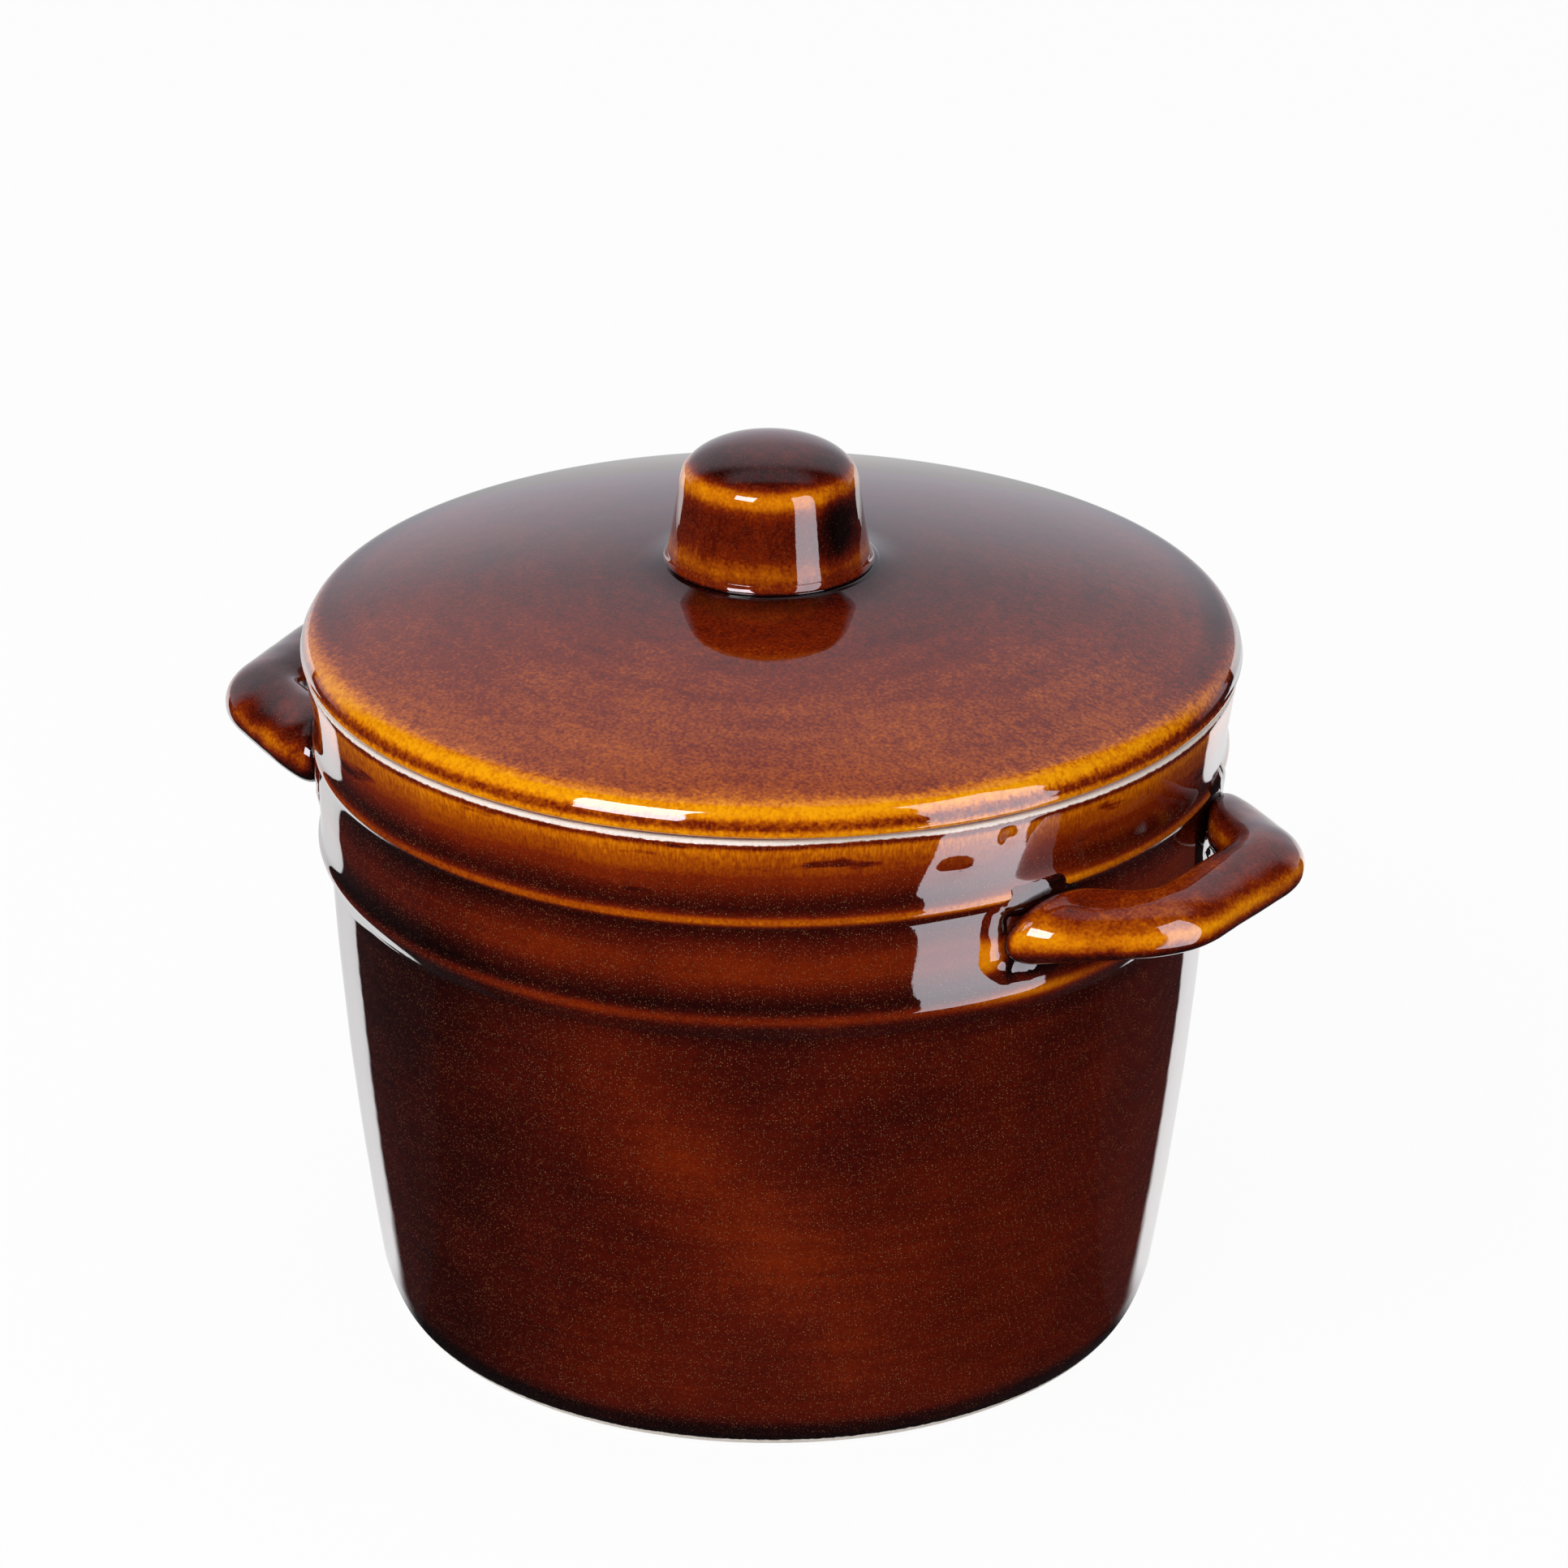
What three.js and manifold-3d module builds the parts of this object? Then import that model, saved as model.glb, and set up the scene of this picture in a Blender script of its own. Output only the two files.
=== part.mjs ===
// Stoneware crock with a domed lid, a knob and two loop handles.
// Millimetres, +Z up. The origin is on the floor under the middle of the foot. +X points to the right handle.
import * as THREE from 'three';
import { mergeVertices } from 'three/addons/utils/BufferGeometryUtils.js';
import Module from 'manifold-3d';

const wasm = await Module();
wasm.setup();

// Pot, from the rim down
const potHeight = 148; // floor to the flat of the rim
const rimRadius = 98.5; // outside of the rim
const rimRound = 1.4; // rounding of the rim's two edges
const rimWidth = 10; // thickness of the wall at the rim
const rimFlare = 1.6; // the rim stands out this far beyond the hollow above the upper ridge
const rimBandHeight = 19; // upper ridge to the flat of the rim
const upperRidgeStand = 0.6; // the upper ridge stands out this far beyond the hollow above it
const upperStep = 1.3; // and this far beyond the wall below it
const ridgeSpacing = 22.7; // height between the two ridges
const bandTaper = 0.6; // the wall between them draws in this far on its way down
const lowerRidgeStand = 0.8; // the lower ridge stands out this far beyond the hollow above it
const lowerStep = 2.6; // and this far beyond the wall below it
const ridgeFall = 5; // height of the step below each ridge
const ridgeHollow = 3.4; // height above each ridge of the hollow where glaze pools
const wallTaper = 9.8; // the main wall draws in this far on its way down
const wallSwell = 1.2; // how far the main wall bellies out of a straight line
const baseCurveHeight = 10; // height of the rounded base
const baseTuck = 2.4; // how far the rounded base pulls in under the wall
const footInset = 6; // from the wall in to the outer edge of the ring that stands on the floor
const footWidth = 11; // width of that ring
const footRecess = 2; // depth of the hollow inside the ring
const footSlope = 1.5; // run of the slope from the ring up to the hollow
const wallThickness = 9; // thickness of the wall above the floor
const floorThickness = 10;
const floorRound = 14; // fillet between floor and wall, inside

// Lid
const seatGap = 0.3; // between the rim and the lid that rests on it
const lidOverhang = 1.1; // the lid reaches this far out beyond the rim
const lidEdgeHeight = 6.9; // seat to the shoulder where the dome begins
const lidEdgeRound = 3.7; // run of the shoulder's rounding
const lidLip = 1.8; // rounding of the lower edge
const domeRadius = 345; // the top is part of a sphere
const lidThickness = 8;
const flangeClearance = 2; // between the flange and the inside of the rim
const flangeDepth = 8;
const flangeWidth = 6;
const flangeRound = 1.5;
const ventRadius = 2; // lets steam out of the hollow knob in the kiln

// Knob
const knobFootRadius = 21.8;
const knobTopRadius = 18.1;
const knobHeight = 23;
const knobEdgeRound = 3.2; // rounding where the side meets the top
const knobCrown = 2.2; // rise of the top's middle above its edge
const knobWall = 7;
const knobCollarRise = 0.9; // the lid swells up to meet the knob
const knobCollarWidth = 6;

// Handles
const fingerGap = 11.7; // between the wall and the grip
const gripWidth = 15; // thickness of the strap, seen from above
const gripHeight = 9;
const gripTopRound = 2.8; // the strap is flat on top with soft edges
const gripUnderRound = 4;
const gripLength = 34.4; // along the outside, between the two corners
const rootSpread = 61.4; // between the middles of the two ends
const rootFlare = 2.2; // the strap's ends are this much taller than the grip
const rootFlareLength = 14;
const elbowReach = 2.6; // the strap leaves the wall straight, then bends
const bendInside = 3.3; // radius of each bend on its inner side
const rootBury = 14; // the strap is drawn this far into the wall, then trimmed
const handleAboveRidge = 15.3; // lower ridge to the middle of the strap at the wall
const handleRise = 0.085; // climb of the strap for each millimetre outwards
const handleSetForward = THREE.MathUtils.degToRad(6.3); // each handle sits a little forward of the middle

// Luting slip between the pieces
const jointGap = 0.3;
const slipThickness = 1.2;
const slipReach = 12; // length of strap beyond the wall that shapes a handle's pad
const slipSpread = 2; // how far the slip is squeezed out beyond a handle end
const slipBead = 0.6; // and beyond the knob's foot

// Roundness of the solids
const roundSegments = 64;
const knobSegments = 40;
const strapSteps = 36;
const rootSteps = 8;
const curvePoints = 6;
const arcPoints = 3;
const weldDistance = 1e-4; // points nearer than this are one point

const glazeColor = 0x5a1f0c;
const amberColor = 0x8a4413;
const glazeRoughness = 0.12;

// Radii and heights that follow from the sizes above
const upperHollowRadius = rimRadius - rimFlare;
const upperRidgeRadius = upperHollowRadius + upperRidgeStand;
const upperRidgeHeight = potHeight - rimBandHeight;
const bandRadius = upperRidgeRadius - upperStep;
const lowerHollowRadius = bandRadius - bandTaper;
const lowerRidgeRadius = lowerHollowRadius + lowerRidgeStand;
const lowerRidgeHeight = upperRidgeHeight - ridgeSpacing;
const waistRadius = lowerRidgeRadius - lowerStep;
const waistHeight = lowerRidgeHeight - ridgeFall;
const baseRadius = waistRadius - wallTaper;
const footRadius = baseRadius - footInset;
const rimInner = rimRadius - rimWidth;
const lidRadius = rimRadius + lidOverhang;
const seatHeight = potHeight + seatGap;
const shoulderRadius = lidRadius - lidEdgeRound;
const shoulderHeight = seatHeight + lidEdgeHeight;
const gripMiddle = bandRadius + fingerGap + gripWidth / 2;
const handleHeight = lowerRidgeHeight + handleAboveRidge;

const point = (radius, height) => new THREE.Vector2(radius, height);

// Keeps only positions, merges the seam, drops collapsed triangles and turns the faces outwards.
function closeGeometry(source) {
  const bare = source.clone();
  bare.deleteAttribute('normal');
  bare.deleteAttribute('uv');
  const merged = mergeVertices(bare, weldDistance);
  const position = merged.getAttribute('position');
  const corners = [new THREE.Vector3(), new THREE.Vector3(), new THREE.Vector3()];
  const triangles = [];
  let volume = 0;
  for (let i = 0; i < merged.index.count; i += 3) {
    const ids = [0, 1, 2].map((k) => merged.index.getX(i + k));
    if (new Set(ids).size < 3) continue;
    ids.forEach((id, k) => corners[k].fromBufferAttribute(position, id));
    volume += corners[0].dot(corners[1].cross(corners[2])) / 6;
    triangles.push(ids);
  }
  const outward = triangles.map(([a, b, c]) => (volume < 0 ? [a, c, b] : [a, b, c]));
  merged.setIndex(outward.flat());
  return merged;
}

// Turns an outline of radius and height about the upright axis.
function revolve(outline, segments) {
  const geometry = new THREE.LatheGeometry(outline, segments);
  geometry.rotateX(Math.PI / 2);
  return closeGeometry(geometry);
}

function toSolid(geometry) {
  const vertProperties = new Float32Array(geometry.getAttribute('position').array);
  const triVerts = new Uint32Array(geometry.index.array);
  return new wasm.Manifold(new wasm.Mesh({ numProp: 3, vertProperties, triVerts }));
}

function toGeometry(solid) {
  const mesh = solid.getMesh();
  const geometry = new THREE.BufferGeometry();
  geometry.setAttribute('position', new THREE.BufferAttribute(new Float32Array(mesh.vertProperties), 3));
  geometry.setIndex(Array.from(mesh.triVerts));
  return closeGeometry(geometry);
}

function quarterRound(from, corner, to) {
  return new THREE.QuadraticBezierCurve(from, corner, to).getPoints(arcPoints);
}

// The outside of the pot, from the foot to the start of the rim's rounding.
function wallOutline() {
  const middleRadius = (baseRadius + waistRadius) / 2;
  const middleHeight = (baseCurveHeight + waistHeight) / 2;
  const base = new THREE.QuadraticBezierCurve(
    point(footRadius, 0),
    point(baseRadius - baseTuck, 0),
    point(baseRadius, baseCurveHeight),
  );
  const wall = new THREE.QuadraticBezierCurve(
    point(baseRadius, baseCurveHeight),
    point(middleRadius + 2 * wallSwell, middleHeight),
    point(waistRadius, waistHeight),
  );
  const bands = new THREE.SplineCurve([
    point(waistRadius, waistHeight),
    point(lowerRidgeRadius, lowerRidgeHeight),
    point(lowerHollowRadius, lowerRidgeHeight + ridgeHollow),
    point(bandRadius, (lowerRidgeHeight + upperRidgeHeight) / 2),
    point(bandRadius, upperRidgeHeight - ridgeFall / 2),
    point(upperRidgeRadius, upperRidgeHeight),
    point(upperHollowRadius, upperRidgeHeight + ridgeHollow),
    point(rimRadius, potHeight - rimRound),
  ]);
  const bandSteps = 2 * (bands.points.length - 1);
  return [
    ...base.getPoints(arcPoints),
    ...wall.getPoints(curvePoints).slice(1),
    ...bands.getPoints(bandSteps).slice(1),
  ];
}

function crockBody() {
  const floorRadius = baseRadius - wallThickness;
  const footInner = footRadius - footWidth;
  const outline = [
    point(0, footRecess),
    point(footInner - footSlope, footRecess),
    point(footInner, 0),
    ...wallOutline(),
    ...quarterRound(
      point(rimRadius, potHeight - rimRound),
      point(rimRadius, potHeight),
      point(rimRadius - rimRound, potHeight),
    ).slice(1),
    ...quarterRound(
      point(rimInner + rimRound, potHeight),
      point(rimInner, potHeight),
      point(rimInner, potHeight - rimRound),
    ),
    ...quarterRound(
      point(floorRadius, floorThickness + floorRound),
      point(floorRadius, floorThickness),
      point(floorRadius - floorRound, floorThickness),
    ),
    point(0, floorThickness),
  ];
  return revolve(outline, roundSegments);
}

function domeHeight(radius) {
  const drop = Math.sqrt(domeRadius ** 2 - shoulderRadius ** 2);
  return shoulderHeight + Math.sqrt(domeRadius ** 2 - radius ** 2) - drop;
}

function domeStretch(fromRadius, toRadius, offset) {
  const steps = curvePoints;
  return Array.from({ length: steps + 1 }, (_, i) => {
    const radius = THREE.MathUtils.lerp(fromRadius, toRadius, i / steps);
    return point(radius, domeHeight(radius) + offset);
  });
}

const knobSeatHeight = domeHeight(knobFootRadius) + knobCollarRise;
const knobFootHeight = knobSeatHeight + jointGap + slipThickness + jointGap;

function lidPlate() {
  const collarRadius = knobFootRadius + knobCollarWidth;
  const seatRadius = knobFootRadius + slipBead;
  const flangeRadius = rimInner - flangeClearance;
  const flangeInner = flangeRadius - flangeWidth;
  const flangeFoot = seatHeight - flangeDepth;
  const outline = [
    point(ventRadius, knobSeatHeight),
    ...quarterRound(
      point(seatRadius, knobSeatHeight),
      point((seatRadius + collarRadius) / 2, domeHeight(collarRadius)),
      point(collarRadius, domeHeight(collarRadius)),
    ),
    ...domeStretch(collarRadius, shoulderRadius, 0).slice(1),
    ...quarterRound(
      point(shoulderRadius, shoulderHeight),
      point(lidRadius, shoulderHeight - lidLip / 2),
      point(lidRadius, seatHeight + lidLip),
    ).slice(1),
    ...quarterRound(
      point(lidRadius, seatHeight + lidLip),
      point(lidRadius, seatHeight),
      point(lidRadius - lidLip, seatHeight),
    ).slice(1),
    point(flangeRadius, seatHeight),
    ...quarterRound(
      point(flangeRadius, flangeFoot + flangeRound),
      point(flangeRadius, flangeFoot),
      point(flangeRadius - flangeRound, flangeFoot),
    ),
    ...quarterRound(
      point(flangeInner + flangeRound, flangeFoot),
      point(flangeInner, flangeFoot),
      point(flangeInner, flangeFoot + flangeRound),
    ),
    ...domeStretch(flangeInner, ventRadius, -lidThickness),
    point(ventRadius, knobSeatHeight),
  ];
  return revolve(outline, roundSegments);
}

function lidKnob() {
  const top = knobFootHeight + knobHeight;
  const edge = top - knobCrown;
  const sideTop = edge - knobEdgeRound;
  const innerTopRadius = knobTopRadius - knobWall;
  const innerTop = edge - knobWall;
  const crown = new THREE.QuadraticBezierCurve(
    point(knobTopRadius - knobEdgeRound, edge),
    point((knobTopRadius - knobEdgeRound) / 2, top),
    point(0, top),
  );
  const outline = [
    point(0, innerTop),
    point(innerTopRadius, innerTop),
    point(knobFootRadius - knobWall, knobFootHeight),
    point(knobFootRadius, knobFootHeight),
    ...quarterRound(
      point(knobTopRadius, sideTop),
      point(knobTopRadius, edge),
      point(knobTopRadius - knobEdgeRound, edge),
    ),
    ...crown.getPoints(arcPoints).slice(1),
  ];
  return revolve(outline, knobSegments);
}

function knobSlipRing() {
  const low = knobSeatHeight + jointGap;
  const high = low + slipThickness;
  const inner = knobFootRadius - knobWall;
  const bead = quarterRound(
    point(knobFootRadius, low),
    point(knobFootRadius + 2 * slipBead, (low + high) / 2),
    point(knobFootRadius, high),
  );
  return revolve([point(inner, low), ...bead, point(inner, high), point(inner, low)], knobSegments);
}

// A solid that follows the outside of the pot at a distance, used to trim what is luted to the wall.
function wallTrimmer(distance) {
  const wall = wallOutline().map(({ x, y }) => point(x + distance, y));
  return toSolid(revolve([point(0, 0), ...wall, point(0, wall.at(-1).y)], roundSegments));
}

// The middle line of a handle seen from above: x outwards from the pot's axis, y along the wall.
function strapPath() {
  const half = rootSpread / 2;
  const wall = Math.sqrt(bandRadius ** 2 - half ** 2);
  const corners = [
    point(wall - rootBury, half),
    point(wall + elbowReach, half),
    point(gripMiddle, gripLength / 2),
    point(gripMiddle, -gripLength / 2),
    point(wall + elbowReach, -half),
    point(wall - rootBury, -half),
  ];
  const path = new THREE.Path();
  path.moveTo(corners[0].x, corners[0].y);
  for (let i = 1; i < corners.length - 1; i += 1) {
    const corner = corners[i];
    const toBack = corners[i - 1].clone().sub(corner);
    const toAhead = corners[i + 1].clone().sub(corner);
    const turn = Math.PI - toBack.angleTo(toAhead);
    const run = (gripWidth / 2 + bendInside) * Math.tan(turn / 2);
    const back = toBack.setLength(run).add(corner);
    const ahead = toAhead.setLength(run).add(corner);
    path.lineTo(back.x, back.y);
    path.quadraticCurveTo(corner.x, corner.y, ahead.x, ahead.y);
  }
  path.lineTo(corners.at(-1).x, corners.at(-1).y);
  return path;
}

// The strap's cross-section: x outwards, y up, grown by a margin all round.
function strapSection(margin, flare) {
  const halfWidth = gripWidth / 2 + margin;
  const halfHeight = (gripHeight + flare) / 2 + margin;
  const topRound = Math.min(gripTopRound + margin, halfWidth, halfHeight);
  const underRound = Math.min(gripUnderRound + margin, halfWidth, halfHeight);
  const corner = (sideX, sideY, round) => quarterRound(
    point(sideX * halfWidth, sideY * (halfHeight - round)),
    point(sideX * halfWidth, sideY * halfHeight),
    point(sideX * (halfWidth - round), sideY * halfHeight),
  );
  return [
    ...corner(1, 1, topRound),
    ...corner(-1, 1, topRound).reverse(),
    ...corner(-1, -1, underRound),
    ...corner(1, -1, underRound).reverse(),
  ];
}

// Sets the section square to the path at each step and joins the rings into one closed skin.
function sweepStrap(path, start, end, steps, margin) {
  const length = path.getLength();
  const rings = Array.from({ length: steps + 1 }, (_, i) => {
    const along = THREE.MathUtils.lerp(start, end, i / steps);
    const middle = path.getPointAt(along / length);
    const heading = path.getTangentAt(along / length);
    const fromRoot = Math.min(along, length - along) - rootBury;
    const flare = rootFlare * (1 - THREE.MathUtils.smoothstep(fromRoot, 0, rootFlareLength));
    return strapSection(margin, flare).map(({ x, y }) => {
      const out = middle.x - heading.y * x;
      const side = middle.y + heading.x * x;
      return new THREE.Vector3(out, side, handleHeight + y + handleRise * (out - bandRadius));
    });
  });
  const count = rings[0].length;
  const triangles = [];
  for (let i = 0; i < steps; i += 1) {
    for (let k = 0; k < count; k += 1) {
      const next = (k + 1) % count;
      const [a, b] = [i * count + k, i * count + next];
      triangles.push(a, a + count, b, b, a + count, b + count);
    }
  }
  for (let k = 1; k < count - 1; k += 1) {
    const last = steps * count;
    triangles.push(0, k, k + 1, last, last + k + 1, last + k);
  }
  const geometry = new THREE.BufferGeometry().setFromPoints(rings.flat());
  geometry.setIndex(triangles);
  return toSolid(closeGeometry(geometry));
}

const handlePath = strapPath();

function handleStrap() {
  const whole = sweepStrap(handlePath, 0, handlePath.getLength(), strapSteps, 0);
  return toGeometry(whole.subtract(wallTrimmer(jointGap + slipThickness + jointGap)));
}

function handleSlip(atStart) {
  const length = handlePath.getLength();
  const reach = rootBury + slipReach;
  const [start, end] = atStart ? [0, reach] : [length - reach, length];
  const root = sweepStrap(handlePath, start, end, rootSteps, slipSpread);
  const skin = root.intersect(wallTrimmer(jointGap + slipThickness));
  return toGeometry(skin.subtract(wallTrimmer(jointGap)));
}

function glazed(color) {
  return new THREE.MeshStandardMaterial({ color, roughness: glazeRoughness, metalness: 0 });
}

function piece(name, geometry, color) {
  const mesh = new THREE.Mesh(geometry, glazed(color));
  mesh.name = name;
  return mesh;
}

// One handle with its two pads of slip, turned to its side of the pot.
function handleGroup(side, turn, startIsFront) {
  const group = new THREE.Group();
  const [startName, endName] = startIsFront ? ['front', 'rear'] : ['rear', 'front'];
  group.add(piece(`handle_${side}`, handleStrap(), glazeColor));
  group.add(piece(`handle_${side}_${startName}_slip`, handleSlip(true), amberColor));
  group.add(piece(`handle_${side}_${endName}_slip`, handleSlip(false), amberColor));
  group.rotation.z = turn;
  return group;
}

const lid = new THREE.Group();
lid.add(piece('lid_plate', lidPlate(), glazeColor));
lid.add(piece('knob_slip_ring', knobSlipRing(), amberColor));
lid.add(piece('lid_knob', lidKnob(), glazeColor));

const crock = new THREE.Group();
crock.add(piece('crock_body', crockBody(), glazeColor));
crock.add(handleGroup('right', -handleSetForward, false));
crock.add(handleGroup('left', Math.PI + handleSetForward, true));
crock.add(lid);

export default crock;
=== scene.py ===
# %% [markdown]
# # A lidded stoneware crock
#
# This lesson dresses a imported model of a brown-glazed stoneware crock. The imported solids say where
# every piece is and how the lid moves. Blender adds what solids lack: soft thrown curves, luted joints
# and a wet, deep glaze. The first cell loads the solids and keeps their box, so that the last cell can
# compare them.

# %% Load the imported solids
import math

import bmesh
import bpy
from mathutils import Matrix, Vector


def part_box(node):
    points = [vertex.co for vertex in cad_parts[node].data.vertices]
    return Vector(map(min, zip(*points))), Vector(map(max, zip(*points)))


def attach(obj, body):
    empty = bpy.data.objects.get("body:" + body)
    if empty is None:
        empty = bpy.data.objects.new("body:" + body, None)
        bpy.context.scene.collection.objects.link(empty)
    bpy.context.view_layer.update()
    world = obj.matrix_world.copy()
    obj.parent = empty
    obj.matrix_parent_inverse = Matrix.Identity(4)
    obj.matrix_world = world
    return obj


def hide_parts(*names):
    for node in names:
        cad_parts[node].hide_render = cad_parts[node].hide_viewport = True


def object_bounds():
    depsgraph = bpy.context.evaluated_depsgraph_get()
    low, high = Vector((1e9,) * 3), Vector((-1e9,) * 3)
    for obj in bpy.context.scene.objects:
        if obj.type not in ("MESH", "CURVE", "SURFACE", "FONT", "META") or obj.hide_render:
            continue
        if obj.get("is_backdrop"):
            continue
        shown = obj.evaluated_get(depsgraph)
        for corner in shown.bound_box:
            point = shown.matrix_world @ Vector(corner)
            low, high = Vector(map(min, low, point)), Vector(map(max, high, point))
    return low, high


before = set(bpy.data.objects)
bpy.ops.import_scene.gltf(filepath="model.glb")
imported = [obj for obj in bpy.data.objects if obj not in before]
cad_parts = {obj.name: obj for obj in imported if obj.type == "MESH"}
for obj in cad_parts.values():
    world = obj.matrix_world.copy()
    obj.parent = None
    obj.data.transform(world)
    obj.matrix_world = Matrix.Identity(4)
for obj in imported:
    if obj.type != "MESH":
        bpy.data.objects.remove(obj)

scene = bpy.context.scene
cad_box = [list(corner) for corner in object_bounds()]
print("solids:", sorted(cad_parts))
print("box of the solids in metres:", cad_box)

# %% [markdown]
# Every size below is in millimetres, as a potter would give it, and becomes metres in one place. A few
# sizes come straight from the solids, so that the dressed pieces sit exactly where the solids are.

# %% Sizes that the solids give
MM = 0.001
POT_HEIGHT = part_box("crock_body")[1].z / MM
RIM_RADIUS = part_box("crock_body")[1].x / MM
LID_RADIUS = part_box("lid_plate")[1].x / MM
SEAT_GAP = 0.3
SEAT_HEIGHT = POT_HEIGHT + SEAT_GAP
KNOB_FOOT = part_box("lid_knob")[0].z / MM
KNOB_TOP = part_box("lid_knob")[1].z / MM
KNOB_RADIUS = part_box("lid_knob")[1].x / MM
print(f"pot {POT_HEIGHT:.1f} mm high, rim {RIM_RADIUS:.1f}, lid {LID_RADIUS:.1f}, knob {KNOB_RADIUS:.1f}")

# %% [markdown]
# ## A small language for nodes
#
# Materials and Geometry Nodes are both trees of nodes. Wiring them by hand is slow to read, so one
# small class wraps an output socket. Adding or multiplying two wires adds a Math node, and `node` makes
# any other node from its type, its settings and the values or wires of its inputs.

# %% Wires that can be used in sums
class Wire:
    """An output socket that can stand in a Python sum."""

    def __init__(self, tree, socket=None):
        self.tree = tree
        self.socket = socket

    def node(self, kind, settings=None, inputs=None, output=0):
        new = self.tree.nodes.new(kind)
        for name, value in (settings or {}).items():
            if name == "stops":
                set_stops(new.color_ramp, value)
            else:
                setattr(new, name, value)
        for key, value in (inputs or {}).items():
            if isinstance(value, Wire):
                self.tree.links.new(value.socket, new.inputs[key])
            else:
                new.inputs[key].default_value = value
        return Wire(self.tree, new.outputs[output] if len(new.outputs) else None)

    def math(self, operation, *values):
        """A sum of the given values, or of this wire alone when none are given."""
        return self.node("ShaderNodeMath", {"operation": operation}, dict(enumerate(values or (self,))))

    def vector(self, operation, *values, output=0):
        return self.node("ShaderNodeVectorMath", {"operation": operation}, dict(enumerate(values)), output)

    def scaled(self, factor):
        """A vector made longer or shorter by a number or a wire."""
        return self.node("ShaderNodeVectorMath", {"operation": "SCALE"}, {0: self, 3: factor})

    def part(self, axis):
        """One coordinate of a vector."""
        return self.node("ShaderNodeSeparateXYZ", None, {0: self}, axis)

    def along(self, direction):
        """How far a vector reaches along a direction."""
        return self.vector("DOT_PRODUCT", self, direction, output=1)

    def __add__(self, other):
        return self.math("ADD", self, other)

    def __sub__(self, other):
        return self.math("SUBTRACT", self, other)

    def __rsub__(self, other):
        return self.math("SUBTRACT", other, self)

    def __mul__(self, other):
        return self.math("MULTIPLY", self, other)

    def __truediv__(self, other):
        return self.math("DIVIDE", self, other)

    def __rtruediv__(self, other):
        return self.math("DIVIDE", other, self)

    __radd__ = __add__
    __rmul__ = __mul__

    def bell(self, middle, width):
        """1 at the middle, falling softly to 0 on both sides."""
        offset = (self - middle) / width
        return (offset * offset * -1).math("EXPONENT")

    def rise(self, low, high):
        """0 below low, 1 above high, smooth between them."""
        smooth = {"interpolation_type": "SMOOTHSTEP"}
        return self.node("ShaderNodeMapRange", smooth, {0: self, 1: low, 2: high})

    def blend(self, color, other):
        """The color where this wire is 0, and the other one where it is 1."""
        return self.node("ShaderNodeMix", {"data_type": "RGBA"}, {0: self, 6: color, 7: other}, 2)

    def cloud(self, place, scale, detail=2.0, stretch=(1, 1, 1)):
        """A soft noise from about -0.5 to 0.5, with a scale in waves a metre."""
        spot = place.vector("MULTIPLY", place, stretch)
        inputs = {"Vector": spot, "Scale": scale, "Detail": detail}
        return self.node("ShaderNodeTexNoise", None, inputs) - 0.5


def set_stops(ramp, stops):
    while len(ramp.elements) < len(stops):
        ramp.elements.new(1)
    for element, (position, color) in zip(ramp.elements, stops):
        element.position = position
        element.color = (*color, 1)


print("wires are ready")

# %% [markdown]
# ## The camera
#
# The photograph was taken from about 1.65 metres away with a long lens, so the sides of the pot hardly
# converge. The camera's place was worked out from the ellipses of the lid and the two ridges. Its lens
# is the one that makes the pot as large in a square frame.

# %% Camera at the photograph's angle
CAMERA_TURN = math.radians(30.4)  # the camera stands this far round from the -Y side, towards +X
CAMERA_REACH = 1.5
CAMERA_HEIGHT = 0.7851
CAMERA_PITCH = math.radians(24.02)
CAMERA_YAW = math.radians(-0.11)
CAMERA_ROLL = math.radians(0.45)
LENS_MM = 176.7

camera_data = bpy.data.cameras.new("camera")
camera_data.lens = LENS_MM
camera_data.sensor_width = 36
camera = bpy.data.objects.new("camera", camera_data)
scene.collection.objects.link(camera)
turn = Matrix.Rotation(CAMERA_TURN, 4, "Z")
aim = Matrix.Rotation(CAMERA_YAW, 4, "Z") @ Matrix.Rotation(math.pi / 2 - CAMERA_PITCH, 4, "X")
stand = Matrix.Translation((0, -CAMERA_REACH, CAMERA_HEIGHT))
camera.matrix_world = turn @ stand @ aim @ Matrix.Rotation(CAMERA_ROLL, 4, "Z")
scene.camera = camera
scene.view_settings.view_transform = "Standard"
print("camera at", [round(value, 3) for value in camera.matrix_world.translation])

# %% [markdown]
# ## The studio
#
# A glossy pot shows its surroundings, so the studio matters as much as the glaze. It is white behind
# the pot and dark in front of it, as when only the backdrop is lit. That keeps the glaze deep, and lays
# the pale line down both sides of the wall, where it mirrors the white floor behind.

# %% Directions in the studio
TOWARDS_CAMERA = turn.to_3x3() @ Vector((0, -1, 0))
BEHIND = -TOWARDS_CAMERA
RIGHT = turn.to_3x3() @ Vector((1, 0, 0))


def studio_place(right_degrees, up_degrees, distance):
    """A point round the pot: degrees right of the camera's side, degrees up, and metres away."""
    flat = Matrix.Rotation(math.radians(right_degrees), 3, "Z") @ TOWARDS_CAMERA
    up = math.radians(up_degrees)
    return (flat * math.cos(up) + Vector((0, 0, math.sin(up)))) * distance


print("behind the pot:", [round(value, 2) for value in BEHIND])

# %% [markdown]
# The world is white to the camera. Mirrored rays see it white behind the pot, dimmer overhead and dark
# in front. Everything else gets an even, plain fill.

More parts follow.
